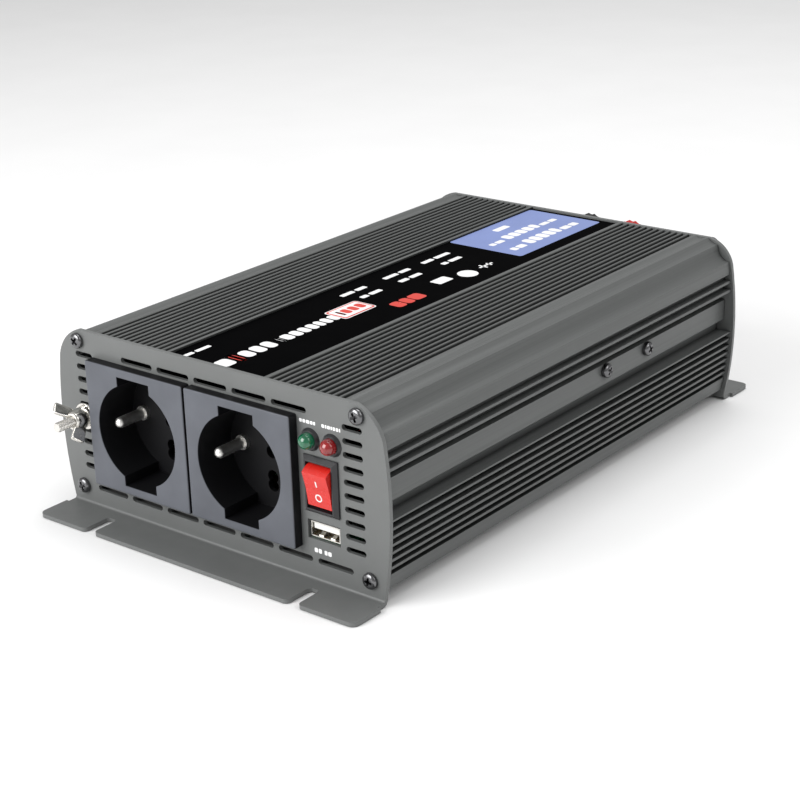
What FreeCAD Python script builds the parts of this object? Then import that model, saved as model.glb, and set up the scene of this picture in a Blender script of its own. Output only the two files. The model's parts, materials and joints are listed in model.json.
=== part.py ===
"""Power inverter: a finned housing between two folded end panels, with its sockets, switch, USB port,
earth terminal, battery terminals, fan and power electronics, each as a separate piece.

Frame: X to the right seen from the front, Y from the front panel to the rear, Z up. The origin is on the
surface that the feet stand on, under the middle of the housing. All sizes are millimetres.
"""
import FreeCAD, Part
import math
import os
import re
import Sketcher

DIMENSIONS = {
    # shared by many sub-parts
    "arc_inset": 0.293,              # share of its radius by which a quarter arc's middle is inset
    "overshoot": 2.0,                # how far a cut runs out past the surface it starts at
    "snap_gap": 0.1,                 # gap round a piece that snaps into a hole
    # folded end panels
    "body_length": 234.0,            # outer face of the front panel to outer face of the rear panel
    "sheet": 1.6,                    # thickness of the folded sheet
    "panel_top": 72.0,
    "panel_base_half": 76.2,         # half width where the fold begins
    "panel_waist_half": 79.5,        # half width at the widest point
    "panel_waist_level": 37.0,
    "shoulder_half": 77.6,
    "shoulder_level": 60.5,
    "corner_half": 73.9,
    "corner_level": 67.2,
    "top_half": 66.5,
    "fold_radius": 2.6,
    "foot_half": 77.5,
    "foot_depth": 18.0,
    "foot_corner_radius": 3.0,
    "foot_slot_spacing": 100.0,
    "foot_slot_width": 4.5,
    "foot_slot_end": 5.6,            # from the panel's face to the closed end of the slot
    "slot_mouth_radius": 2.0,
    "fold_flat": 6.0,                # flat of the fold, which laps the foot
    "foot_start": 4.0,
    # screws at the corners of both panels
    "top_screw_x": 67.0,
    "top_screw_level": 67.6,
    "base_screw_x": 70.4,
    "base_screw_level": 8.4,
    "screw_hole_radius": 1.7,
    "screw_core_radius": 1.5,
    "screw_head_radius": 3.0,
    "screw_head_height": 2.0,
    "screw_length": 9.0,
    "recess_width": 0.9,             # cross recess in the screw heads
    "recess_span": 3.2,
    "recess_depth": 1.1,
    # vents in the panels
    "vent_height": 2.2,
    "vent_pitch": 18.3,
    "vent_length": 15.8,
    "top_vent_level": 64.4,
    "base_vent_level": 9.2,
    "side_vent_length": 8.7,
    "side_vent_pitch": 5.0,
    "side_vent_x": 64.4,
    "side_vent_first_level": 17.3,
    # finned housing
    "panel_overlap": 1.1,            # how far the panels stand out around the housing
    "housing_base": 5.0,
    "housing_top": 70.9,
    "cavity_half": 69.2,
    "cavity_top": 65.6,
    "boss_half": 65.6,               # inner face of the screw bosses
    "base_boss_top": 13.5,
    "top_boss_base": 60.5,
    "rib_pitch": 2.96,
    "first_rib": 26.8,
    "groove_width": 1.9,
    "groove_depth": 1.5,
    "edge_break": 0.25,
    "channel_half": 22.6,            # channel that takes the label
    "channel_depth": 1.2,
    "edge_dip": 0.6,
    "fin_pitch": 3.02,
    "first_fin": 13.1,
    "fin_gap": 2.0,
    "fin_depth": 4.4,
    "fin_face": 78.2,
    "rail_face": 75.2,
    "rail_base": 36.8,
    "rail_top": 45.2,
    "rail_pocket": 71.9,
    "rail_pocket_base": 31.7,
    "rail_pocket_top": 49.2,
    "upper_groove_level": 50.3,
    "upper_groove_pitch": 3.75,
    "upper_groove_gap": 2.75,
    "upper_groove_depth": 3.4,
    "side_band_top": 62.0,
    "cove_in": 0.9,                  # concave cove above the side band, then a facet and a scallop
    "cove_drop": 3.4,
    "facet_low_in": 2.5,
    "facet_low_drop": 0.2,
    "facet_high_in": 3.0,
    "facet_high_rise": 1.4,
    "scallop_out": 2.0,
    "scallop_drop": 1.6,
    "edge_start_in": 0.2,            # flat top edge, then a dip up to the first rib
    "edge_end_in": 1.2,
    "dip_in": 3.6,
    "rib_end_in": 6.0,
    "cavity_slope_rise": 3.0,
    "cavity_slope_in": 4.0,
    "groove_taper": 0.2,
    # label
    "label_thick": 0.5,
    "label_half": 22.3,
    "label_end_gap": 0.5,
    # bottom cover
    "cover_half": 67.3,
    "cover_level": 5.9,
    "cover_thick": 1.2,
    "cover_slot_half": 67.7,
    "cover_end_gap": 0.2,
    # sockets
    "socket_pitch": 50.5,
    "socket_pair_x": -10.0,
    "socket_level": 37.7,
    "faceplate": 49.6,
    "faceplate_proud": 4.0,
    "faceplate_round": 0.8,
    "faceplate_edge": 0.6,           # rounding of a faceplate's front edges
    "recess_radius": 19.6,
    "recess_deep": 17.5,
    "cup_wall": 1.5,
    "cup_floor": 2.0,
    "cheek_wall": 1.2,
    "notch_width": 16.4,
    "notch_reach": 21.6,
    "socket_hole": 46.8,             # square hole in the panel behind a faceplate
    "bridge_radius": 2.45,
    "bridge_offset": 11.3,           # middle of each live hole pair from the socket's centre
    "bridge_step": 1.75,
    "earth_hole_radius": 2.5,
    "pin_radius": 2.1,
    "pin_offset": 13.4,
    "pin_length": 14.5,
    "pin_collar_radius": 2.8,
    "pin_collar_thick": 1.6,
    "pin_rise": 1.0,
    "pin_root": 6.0,                 # length of pin behind the recess's floor
    "contact_wide": 7.4,             # folded brass box behind a pair of holes
    "contact_deep": 11.9,
    "contact_tall": 10.6,
    "contact_start": 2.05,           # from the recess's floor to the front of the box
    "contact_wall": 1.0,
    "contact_top_wall": 0.8,
    "contact_back_wall": 1.45,
    "contact_slit_tall": 1.2,
    "contact_slit_deep": 8.0,
    "contact_tail_wide": 4.0,
    "contact_tail_length": 6.0,
    "contact_tail_thick": 0.9,
    "contact_tail_lap": 0.55,
    # indicator lights
    "green_light_x": 45.9,
    "red_light_x": 55.5,
    "light_level": 54.4,
    "light_radius": 2.9,
    "light_bezel_radius": 4.2,
    "light_bezel_proud": 1.2,
    "light_proud": 5.0,
    "light_hole_radius": 3.6,
    "light_sleeve_radius": 3.5,
    "light_sleeve_length": 5.0,
    "light_bezel_slope": 0.7,
    "light_root": 4.0,               # length of the light behind the panel's face
    "light_leg": 0.5,
    "light_leg_length": 12.0,
    "light_leg_offset": 1.27,
    # rocker switch
    "switch_x": 50.4,
    "switch_level": 38.3,
    "switch_bezel_wide": 15.0,
    "switch_bezel_tall": 21.0,
    "switch_bezel_proud": 2.0,
    "switch_bezel_bevel": 1.3,
    "switch_body_wide": 13.0,
    "switch_body_tall": 19.2,
    "switch_body_deep": 19.0,
    "rocker_wide": 10.6,
    "rocker_tall": 16.0,
    "rocker_clearance": 0.35,
    "rocker_axis_depth": 1.6,        # pivot behind the outer face of the panel
    "rocker_pin_radius": 1.2,
    "rocker_throw": 24.0,            # degrees between its two positions
    "rocker_face": 4.3,              # from the pivot to the middle of the rocker's face
    "rocker_face_end": 4.7,
    "rocker_face_round": 1.4,
    "rocker_nose": 1.9,
    "rocker_side_in": 0.2,
    "rocker_back": 1.6,
    "rocker_tail": 4.6,
    "rocker_tail_half": 3.2,
    "rocker_pin_proud": 0.8,
    "rocker_pin_hole_spare": 0.2,
    "well_spare": 0.3,
    "well_deep": 11.0,
    "blade_wide": 4.8,
    "blade_length": 8.0,
    "blade_thick": 0.8,
    "blade_pitch": 6.5,
    # USB port
    "usb_x": 50.2,
    "usb_level": 20.7,
    "usb_hole_wide": 14.6,
    "usb_hole_tall": 7.2,
    "usb_wide": 13.1,
    "usb_tall": 5.7,
    "usb_deep": 14.0,
    "usb_wall": 0.4,
    "usb_setback": 0.8,
    "tongue_thick": 2.1,
    "tongue_wide": 11.4,
    "tongue_rise": 0.95,
    "tongue_setback": 0.8,
    "tongue_length": 11.0,
    "tongue_root": 2.4,
    "usb_contact_wide": 1.0,
    "usb_contact_length": 7.5,
    "usb_contact_thick": 0.3,
    "usb_contact_middle": 6.4,
    "usb_contact_outer": 3.5,
    "usb_contact_inner": 1.0,
    "usb_board_wide": 19.0,
    "usb_board_long": 24.0,
    "usb_board_thick": 1.2,
    "usb_board_middle": 13.0,
    # earth terminal
    "earth_x": -66.0,
    "earth_level": 37.8,
    "earth_bolt_radius": 2.0,
    "earth_bolt_proud": 15.0,
    "earth_bolt_head": 3.1,
    "earth_bolt_head_thick": 2.8,
    "earth_bolt_bevel": 0.5,
    "earth_clearance": 0.06,         # radial running clearance of the nut and washers
    "flat_washer_radius": 5.2,
    "flat_washer_thick": 1.0,
    "spring_washer_radius": 4.2,
    "spring_washer_thick": 1.2,
    "spring_washer_gap": 0.8,
    "spring_washer_ring": 3.0,
    "wing_boss_radius": 4.1,
    "wing_boss_height": 5.4,
    "wing_foot_out": 0.5,
    "wing_foot_height": 1.1,
    "wing_boss_in": 0.9,
    "wing_root_in": 2.6,             # points of a wing: its root in the boss, its back and its tip
    "wing_root_rise": 1.2,
    "wing_back": 4.4,
    "wing_back_rise": 1.6,
    "wing_tip_round": 1.3,
    "wing_tip_crown": 1.8,
    "wing_top_in": 3.2,
    "wing_top_rise": 3.0,
    "wing_inner": 3.4,
    "wing_tip": 9.6,
    "wing_thick": 1.8,
    "wing_rise": 7.0,
    "wing_angle": 137.0,             # direction of the wings about the bolt, at rest
    # battery terminals
    "red_post_x": 18.2,
    "black_post_x": -3.2,
    "post_level": 58.6,
    "post_stud_radius": 3.0,
    "post_stud_length": 14.0,
    "post_stud_inner": 16.0,         # length of stud behind the rear face
    "post_hole_radius": 4.5,
    "post_sleeve_radius": 4.4,
    "post_sleeve_length": 4.0,
    "post_nut_radius": 5.7,
    "post_nut_thick": 4.0,
    "bar_wide": 10.0,                # bar from a stud to the board
    "bar_thick": 1.5,
    "bar_clamp": 0.2,                # between the collar's sleeve and the bar
    "bar_foot_length": 28.0,
    "post_collar_radius": 7.6,
    "post_collar_thick": 3.0,
    "post_washer_radius": 6.5,
    "post_washer_thick": 1.2,
    "post_knob_radius": 8.0,
    "post_knob_length": 13.8,
    "knob_foot_in": 2.0,             # how much narrower the knob's foot is
    "knob_foot_height": 2.4,
    "knob_shoulder": 3.2,
    "knob_bevel": 1.2,
    "knob_bore_spare": 0.6,
    "flute_radius": 1.5,
    "flute_out": 0.7,
    "post_clearance": 0.06,
    # fan
    "fan_x": -40.5,
    "fan_level": 37.5,
    "fan_size": 50.0,
    "fan_deep": 15.0,
    "fan_bore_radius": 23.6,
    "fan_hole_pitch": 40.0,
    "fan_hub_radius": 10.5,
    "fan_tip_radius": 22.6,
    "fan_wire": 1.6,
    "fan_screw_radius": 1.45,
    "fan_screw_hole": 1.5,
    "fan_screw_length": 14.0,
    "fan_strut": 2.4,
    "strut_lap": 0.5,
    "fan_strut_deep": 2.5,
    "fan_shaft_radius": 1.5,
    "fan_bearing_gap": 0.06,
    "rotor_gap": 3.2,                # from the fan's front to the back of the rotor's hub
    "rotor_deep": 10.5,
    "rotor_shaft_length": 3.0,
    "blade_root_in": 1.2,
    "blade_lean_half": 4.6,
    "blade_chord_thick": 1.4,
    "blade_start": 0.6,
    "blade_end": 10.2,
    "guard_first_ring": 8.0,
    "guard_ring_pitch": 5.0,
    "guard_boss_radius": 4.0,
    "guard_eye_radius": 2.6,
    "diagonal": 1.4142,
    # screws that hold the transistors to the side walls
    "clamp_screw_rear": 52.0,
    "clamp_screw_pitch": 30.0,
    "clamp_screw_level": 42.4,
    "clamp_screw_radius": 1.5,
    "clamp_head_radius": 2.9,
    "clamp_head_height": 2.4,
    "clamp_screw_length": 12.0,
    "clamp_bar_thick": 3.0,
    "clamp_bar_length": 64.0,
    "clamp_bar_tall": 9.0,
    "package_thick": 4.5,            # a power transistor and its legs
    "package_wide": 10.0,
    "package_tall": 15.5,
    "package_wall_gap": 0.1,
    "package_offset": 9.0,           # from a clamp screw to the transistor on either side
    "leg_thick": 0.6,
    "leg_wide": 0.9,
    "leg_length": 19.6,
    "leg_pitch": 2.5,
    "leg_drop": 17.0,
    # circuit board and what it carries
    "board_half": 65.0,
    "board_front": -78.0,
    "board_rear": 92.0,
    "board_level": 14.0,
    "board_thick": 1.6,
    "board_hole_radius": 1.6,
    "standoff_radius": 3.0,
    "standoff_bore": 1.5,
    "standoff_in": 7.0,              # standoffs in from the board's sides and ends
    "standoff_end_in": 6.0,
    "board_screw_radius": 1.5,
    "board_screw_head": 2.8,
    "board_screw_head_height": 1.9,
    "board_screw_length": 8.0,
    # transformers: ferrite shell cores with their coils round the middle leg
    "core_x": 24.0,
    "core_front": 22.0,
    "core_wide": 42.0,
    "core_deep": 15.0,
    "core_tall": 40.0,
    "core_gap": 0.5,                 # above the board
    "window_x": 11.0,
    "window_wide": 9.0,
    "window_tall": 28.0,
    "window_base": 6.5,
    "coil_wide": 30.6,
    "coil_deep": 31.0,
    "coil_clearance": 0.3,
    "coil_leg_wide": 13.4,
    "coil_leg_gap": 0.2,
    # capacitors
    "input_capacitor_radius": 6.2,
    "input_capacitor_tall": 28.0,
    "input_capacitor_x": -48.0,
    "input_capacitor_y": 76.0,
    "input_capacitor_pitch": 15.0,
    "output_capacitor_radius": 10.8,
    "output_capacitor_tall": 36.0,
    "output_capacitor_x": -34.0,
    "output_capacitor_y": -56.0,
    "output_capacitor_pitch": 26.0,
    # output choke
    "choke_x": 26.0,
    "choke_y": -22.0,
    "choke_rise": 7.5,
    "choke_radius": 11.0,
    "choke_section_radius": 4.2,
    "turn_radius": 5.4,
    "turn_wire_radius": 0.9,
    # blade fuses
    "fuse_x": 27.0,
    "fuse_y": 78.0,
    "fuse_pitch": 13.0,
    "fuse_thick": 5.0,
    "fuse_wide": 19.0,
    "fuse_tall": 8.0,
    "fuse_rise": 9.0,
    "fuse_blade_thick": 0.8,
    "fuse_blade_wide": 5.0,
    "fuse_blade_tall": 6.0,
    "fuse_blade_offset": 6.5,
}

DOC = FreeCAD.newDocument("power_inverter")
SHEET = DOC.addObject("Spreadsheet::Sheet", "Dims")
PARTS = {}
ALIAS = re.compile(r"[a-z][a-z_]*")
RIGHT, LEFT = 1, -1
BOARD_TOP = "(board_level + board_thick)"
ALONG = {
    "x": FreeCAD.Rotation(FreeCAD.Vector(0, 1, 0), 90),
    "y": FreeCAD.Rotation(FreeCAD.Vector(1, 0, 0), -90),
    "-y": FreeCAD.Rotation(FreeCAD.Vector(1, 0, 0), 90),
    "z": FreeCAD.Rotation(),
    "-x": FreeCAD.Rotation(FreeCAD.Vector(0, 1, 0), -90),
}


# ---------------------------------------------------------------- helpers
def fill_sheet():
    """Write every driving dimension into the spreadsheet under its alias."""
    for row, (alias, value) in enumerate(DIMENSIONS.items(), start=1):
        SHEET.set(f"A{row}", alias)
        SHEET.set(f"B{row}", str(value))
        SHEET.setAlias(f"B{row}", alias)
    DOC.recompute()


def formula(text):
    """Make plain alias names in a formula refer to the spreadsheet."""
    return ALIAS.sub(lambda found: "Dims." + found.group(), str(text))


def number(text):
    """Today's value of a formula, for placing sketch geometry before it is constrained."""
    plain = ALIAS.sub(lambda found: f"({SHEET.get(found.group())})", str(text))
    return FreeCAD.Units.Quantity(plain).Value


def bind(item, **formulas):
    for prop, text in formulas.items():
        item.setExpression(prop, formula(text))


def locate(item, at, direction="z"):
    """Turn an object's Z axis along a direction and bind its base point."""
    item.Placement = FreeCAD.Placement(FreeCAD.Vector(), ALONG[direction])
    for axis, text in zip("xyz", at):
        item.setExpression(f"Placement.Base.{axis}", formula(text))


def box(name, size, at):
    """A box from its size and its lowest corner."""
    item = DOC.addObject("Part::Box", name)
    bind(item, Length=size[0], Width=size[1], Height=size[2])
    locate(item, at)
    return item


def centred_box(name, size, at):
    """A box from its size and its centre."""
    corner = [f"{middle} - ({length}) / 2" for middle, length in zip(at, size)]
    return box(name, size, corner)


def cylinder(name, radius, length, at, direction="z"):
    item = DOC.addObject("Part::Cylinder", name)
    bind(item, Radius=radius, Height=length)
    locate(item, at, direction)
    return item


def cone(name, radius_low, radius_high, length, at, direction="z"):
    item = DOC.addObject("Part::Cone", name)
    bind(item, Radius1=radius_low, Radius2=radius_high, Height=length)
    locate(item, at, direction)
    return item


def prism(name, sides, radius, length, at, direction="z"):
    item = DOC.addObject("Part::Prism", name)
    item.Polygon = sides
    bind(item, Circumradius=radius, Height=length)
    locate(item, at, direction)
    return item


def torus(name, ring_radius, wire_radius, at, direction="z"):
    item = DOC.addObject("Part::Torus", name)
    bind(item, Radius1=ring_radius, Radius2=wire_radius)
    locate(item, at, direction)
    return item


def fuse(name, items):
    item = DOC.addObject("Part::MultiFuse", name)
    item.Shapes = items
    return item


def group(name, items):
    """Separate solids kept together as one object."""
    item = DOC.addObject("Part::Compound", name)
    item.Links = items
    return item


def cut(name, base, tools):
    item = DOC.addObject("Part::Cut", name)
    item.Base = base
    item.Tool = tools[0] if len(tools) == 1 else group(name + "_tools", tools)
    return item


def keep(node, item):
    """Register an object as a sub-part under its node name."""
    item.Label = node
    PARTS[node] = item
    return item


def origin_feature(body, role):
    return next(item for item in body.Origin.OriginFeatures if item.Role == role)


def new_body(name, at=("0", "0", "0"), turn=0):
    """A PartDesign body whose local origin is at a bound point, turned about Z."""
    body = DOC.addObject("PartDesign::Body", name)
    body.Placement = FreeCAD.Placement(FreeCAD.Vector(), FreeCAD.Rotation(FreeCAD.Vector(0, 0, 1), turn))
    for axis, text in zip("xyz", at):
        body.setExpression(f"Placement.Base.{axis}", formula(text))
    return body


def new_sketch(body, name, plane, offset=None):
    """An empty sketch on one of a body's origin planes, moved along its normal by an offset."""
    sketch = body.newObject("Sketcher::SketchObject", name)
    sketch.AttachmentSupport = [(origin_feature(body, plane + "_Plane"), "")]
    sketch.MapMode = "FlatFace"
    if offset is not None:
        sketch.setExpression("AttachmentOffset.Base.z", formula(offset))
    return sketch


def pin_point(sketch, geometry, end, u, v):
    """Fix a point of a sketch at two formulas."""
    for kind, text in (("DistanceX", u), ("DistanceY", v)):
        constraint = Sketcher.Constraint(kind, -1, 1, geometry, end, number(text))
        index = sketch.addConstraint(constraint)
        sketch.setExpression(f"Constraints[{index}]", formula(text))


def draw_outline(sketch, corners):
    """A closed outline. A corner is (u, v), or (u, v, mid_u, mid_v) where an arc leaves it."""
    points = [FreeCAD.Vector(number(c[0]), number(c[1]), 0) for c in corners]
    ends = []
    for index, corner in enumerate(corners):
        start, stop = points[index], points[(index + 1) % len(points)]
        if len(corner) == 2:
            sketch.addGeometry(Part.LineSegment(start, stop), False)
            ends.append((sketch.GeometryCount - 1, 1, 2))
            continue
        middle = FreeCAD.Vector(number(corner[2]), number(corner[3]), 0)
        sketch.addGeometry(Part.Arc(start, middle, stop), False)
        anticlockwise = (middle - start).cross(stop - middle).z > 0
        arc = sketch.GeometryCount - 1
        ends.append((arc, 1, 2) if anticlockwise else (arc, 2, 1))
    lines = len(corners)
    for index in range(lines):
        this, following = ends[index], ends[(index + 1) % lines]
        sketch.addConstraint(Sketcher.Constraint("Coincident", this[0], this[2], following[0], following[1]))
        pin_point(sketch, this[0], this[1], corners[index][0], corners[index][1])
        if len(corners[index]) == 4:
            middle = FreeCAD.Vector(number(corners[index][2]), number(corners[index][3]), 0)
            sketch.addGeometry(Part.Point(middle), True)
            point = sketch.GeometryCount - 1
            pin_point(sketch, point, 1, corners[index][2], corners[index][3])
            sketch.addConstraint(Sketcher.Constraint("PointOnObject", point, 1, this[0]))


def draw_circle(sketch, u, v, radius):
    centre = FreeCAD.Vector(number(u), number(v), 0)
    sketch.addGeometry(Part.Circle(centre, FreeCAD.Vector(0, 0, 1), number(radius)), False)
    circle = sketch.GeometryCount - 1
    pin_point(sketch, circle, 3, u, v)
    index = sketch.addConstraint(Sketcher.Constraint("Radius", circle, number(radius)))
    sketch.setExpression(f"Constraints[{index}]", formula(radius))


def slot_corners(u, v, length, height):
    """Corners of a slot with round ends, centred on (u, v) and lying along u."""
    reach = f"(({length}) - ({height})) / 2"
    half = f"({height}) / 2"
    return [
        (f"{u} - {reach}", f"{v} - {half}"),
        (f"{u} + {reach}", f"{v} - {half}", f"{u} + ({length}) / 2", v),
        (f"{u} + {reach}", f"{v} + {half}"),
        (f"{u} - {reach}", f"{v} + {half}", f"{u} - ({length}) / 2", v),
    ]


def rectangle(u_low, u_high, v_low, v_high):
    return [(u_low, v_low), (u_high, v_low), (u_high, v_high), (u_low, v_high)]


def pad(body, name, sketch, length, both_ways=False, reverse=False):
    feature = body.newObject("PartDesign::Pad", name)
    feature.Profile = sketch
    feature.setExpression("Length", formula(length))
    if both_ways:
        feature.SideType = "Symmetric"
    feature.Reversed = reverse
    return feature


def pocket(body, name, sketch, length, both_ways=False, reverse=False):
    """Cut a sketch out of a body, and stop if the cut removed nothing."""
    DOC.recompute()
    before = body.Shape.Volume
    feature = body.newObject("PartDesign::Pocket", name)
    feature.Profile = sketch
    feature.setExpression("Length", formula(length))
    if both_ways:
        feature.SideType = "Symmetric"
    feature.Reversed = reverse
    DOC.recompute()
    if body.Shape.Volume > before - 1e-3:
        raise RuntimeError(f"pocket {name} of {body.Name} removes nothing")
    return feature


def linear_pattern(body, name, feature, axis, pitch, count, reverse=False):
    """Repeat a feature at a pitch along one of the body's origin axes."""
    item = body.newObject("PartDesign::LinearPattern", name)
    item.Originals = [feature]
    item.Direction = (origin_feature(body, axis + "_Axis"), [""])
    item.Reversed = reverse
    item.Occurrences = count
    item.setExpression("Length", formula(f"({pitch}) * {count - 1}"))
    body.Tip = item
    return item


def polar_pattern(body, name, feature, axis, count):
    item = body.newObject("PartDesign::PolarPattern", name)
    item.Originals = [feature]
    item.Axis = (origin_feature(body, axis + "_Axis"), [""])
    item.Angle = 360
    item.Occurrences = count
    body.Tip = item
    return item


# ---------------------------------------------------------------- folded end panels
def panel_outline(top, base="fold_radius"):
    """Upright outline of a panel up to a top level, from its left foot round to its right."""
    def side(sign):
        return {
            "base": (f"{sign} * panel_base_half", base),
            "shoulder": (f"{sign} * shoulder_half", "shoulder_level"),
            "top": (f"{sign} * top_half", top),
            "waist": (f"{sign} * panel_waist_half", "panel_waist_level"),
            "corner": (f"{sign} * corner_half", "corner_level"),
        }
    right, left = side(1), side(-1)
    return [
        right["base"] + right["waist"],
        right["shoulder"] + right["corner"],
        right["top"],
        left["top"] + left["corner"],
        left["shoulder"] + left["waist"],
        left["base"],
    ]


def folded_panel(name, turn, top):
    """The sheet part that both ends share: upright plate, fold, slotted foot, screw holes and vents."""
    side = "-" if turn == 0 else ""
    body = new_body(name, ("0", f"{side}(body_length / 2 - sheet)", "0"), turn)
    plate = new_sketch(body, name + "_plate", "XZ")
    draw_outline(plate, panel_outline(top))
    pad(body, name + "_plate_pad", plate, "sheet")
    fold = new_sketch(body, name + "_fold", "YZ")
    start = "-(sheet + fold_flat)"
    bend = "fold_radius - sheet"
    draw_outline(fold, [
        ("0", "fold_radius"),
        ("-sheet", "fold_radius", f"-sheet - ({bend}) * arc_inset", f"sheet + ({bend}) * arc_inset"),
        (f"-sheet - ({bend})", "sheet"),
        (start, "sheet"),
        (start, "0"),
        ("-fold_radius", "0", "-fold_radius * arc_inset", "fold_radius * arc_inset"),
    ])
    pad(body, name + "_fold_pad", fold, "panel_base_half * 2", both_ways=True)
    foot = new_sketch(body, name + "_foot", "XY")
    draw_outline(foot, foot_outline())
    pad(body, name + "_foot_pad", foot, "sheet")
    holes = new_sketch(body, name + "_screw_holes", "XZ")
    for sign in (RIGHT, LEFT):
        draw_circle(holes, f"{sign} * top_screw_x", "top_screw_level", "screw_hole_radius")
        draw_circle(holes, f"{sign} * base_screw_x", "base_screw_level", "screw_hole_radius")
    pocket(body, name + "_screw_hole_cut", holes, "sheet", reverse=True)
    return body


def foot_outline():
    """Flat part of the foot: rounded outer corners and two slots open to its front edge."""
    near, far = "-(sheet + foot_start)", "-(sheet + foot_depth)"
    end, half = "-(sheet + foot_slot_end)", "foot_slot_width / 2"
    mouth_in, mouth_up = "slot_mouth_radius * arc_inset", f"{far} + slot_mouth_radius * arc_inset"
    corner_in, corner_up = "foot_corner_radius * arc_inset", f"{far} + foot_corner_radius * arc_inset"
    points = [
        ("-foot_half", near),
        ("-foot_half", f"{far} + foot_corner_radius", f"-foot_half + {corner_in}", corner_up),
        ("-foot_half + foot_corner_radius", far),
    ]
    for sign in (LEFT, RIGHT):
        middle = f"({sign} * foot_slot_spacing / 2)"
        low, high = f"{middle} - {half}", f"{middle} + {half}"
        points += [
            (f"{low} - slot_mouth_radius", far, f"{low} - {mouth_in}", mouth_up),
            (low, f"{far} + slot_mouth_radius"),
            (low, f"{end} - {half}", middle, end),
            (high, f"{end} - {half}"),
            (high, f"{far} + slot_mouth_radius", f"{high} + {mouth_in}", mouth_up),
            (f"{high} + slot_mouth_radius", far),
        ]
    points += [
        ("foot_half - foot_corner_radius", far, f"foot_half - {corner_in}", corner_up),
        ("foot_half", f"{far} + foot_corner_radius"),
        ("foot_half", near),
    ]
    return points


def vent_row(body, name, first_u, v, length, axis, pitch, count):
    """A row or column of equal vent slots."""
    sketch = new_sketch(body, name, "XZ")
    draw_outline(sketch, slot_corners(first_u, v, length, "vent_height"))
    first = pocket(body, name + "_cut", sketch, "sheet", reverse=True)
    linear_pattern(body, name + "_row", first, axis, pitch, count)


def front_panel():
    body = folded_panel("front_panel", 0, "panel_top")
    vent_row(body, "top_vents", "-2 * vent_pitch", "top_vent_level", "vent_length", "X", "vent_pitch", 5)
    vent_row(body, "base_vents", "-3 * vent_pitch", "base_vent_level", "vent_length", "X", "vent_pitch", 7)
    for side, sign in (("right", RIGHT), ("left", LEFT)):
        vent_row(body, side + "_vents", f"{sign} * side_vent_x", "side_vent_first_level",
                 "side_vent_length", "Z", "side_vent_pitch", 10)
    holes = new_sketch(body, "front_openings", "XZ")
    for sign in (RIGHT, LEFT):
        middle = f"(socket_pair_x + {sign} * socket_pitch / 2)"
        draw_outline(holes, rectangle(
            f"{middle} - socket_hole / 2", f"{middle} + socket_hole / 2",
            "socket_level - socket_hole / 2", "socket_level + socket_hole / 2"))
    draw_circle(holes, "green_light_x", "light_level", "light_hole_radius")
    draw_circle(holes, "red_light_x", "light_level", "light_hole_radius")
    draw_outline(holes, rectangle(
        "switch_x - switch_body_wide / 2 - snap_gap", "switch_x + switch_body_wide / 2 + snap_gap",
        "switch_level - switch_body_tall / 2 - snap_gap", "switch_level + switch_body_tall / 2 + snap_gap"))
    draw_outline(holes, rectangle(
        "usb_x - usb_hole_wide / 2", "usb_x + usb_hole_wide / 2",
        "usb_level - usb_hole_tall / 2", "usb_level + usb_hole_tall / 2"))
    pocket(body, "front_openings_cut", holes, "sheet", reverse=True)
    bolt = new_sketch(body, "earth_bolt_hole", "XZ")
    draw_circle(bolt, "earth_x", "earth_level", "earth_bolt_radius + 2 * snap_gap")
    pocket(body, "earth_bolt_hole_cut", bolt, "sheet", reverse=True)
    keep("front_panel", body)


def rear_panel():
    """The rear panel faces backwards, so its local X is the frame's X turned round."""
    body = folded_panel("rear_panel", 180, "housing_top")
    vent_row(body, "rear_base_vents", "-3 * vent_pitch", "base_vent_level",
             "vent_length", "X", "vent_pitch", 7)
    vent_row(body, "rear_side_vents", "-side_vent_x", "side_vent_first_level",
             "side_vent_length", "Z", "side_vent_pitch", 9)
    holes = new_sketch(body, "rear_openings", "XZ")
    draw_circle(holes, "-fan_x", "fan_level", "fan_bore_radius")
    for x_sign in (RIGHT, LEFT):
        for z_sign in (RIGHT, LEFT):
            draw_circle(holes, f"-fan_x + {x_sign} * fan_hole_pitch / 2",
                        f"fan_level + {z_sign} * fan_hole_pitch / 2", "screw_hole_radius")
    for post in ("red_post_x", "black_post_x"):
        draw_circle(holes, f"-{post}", "post_level", "post_hole_radius")
    pocket(body, "rear_openings_cut", holes, "sheet", reverse=True)
    keep("rear_panel", body)


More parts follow.
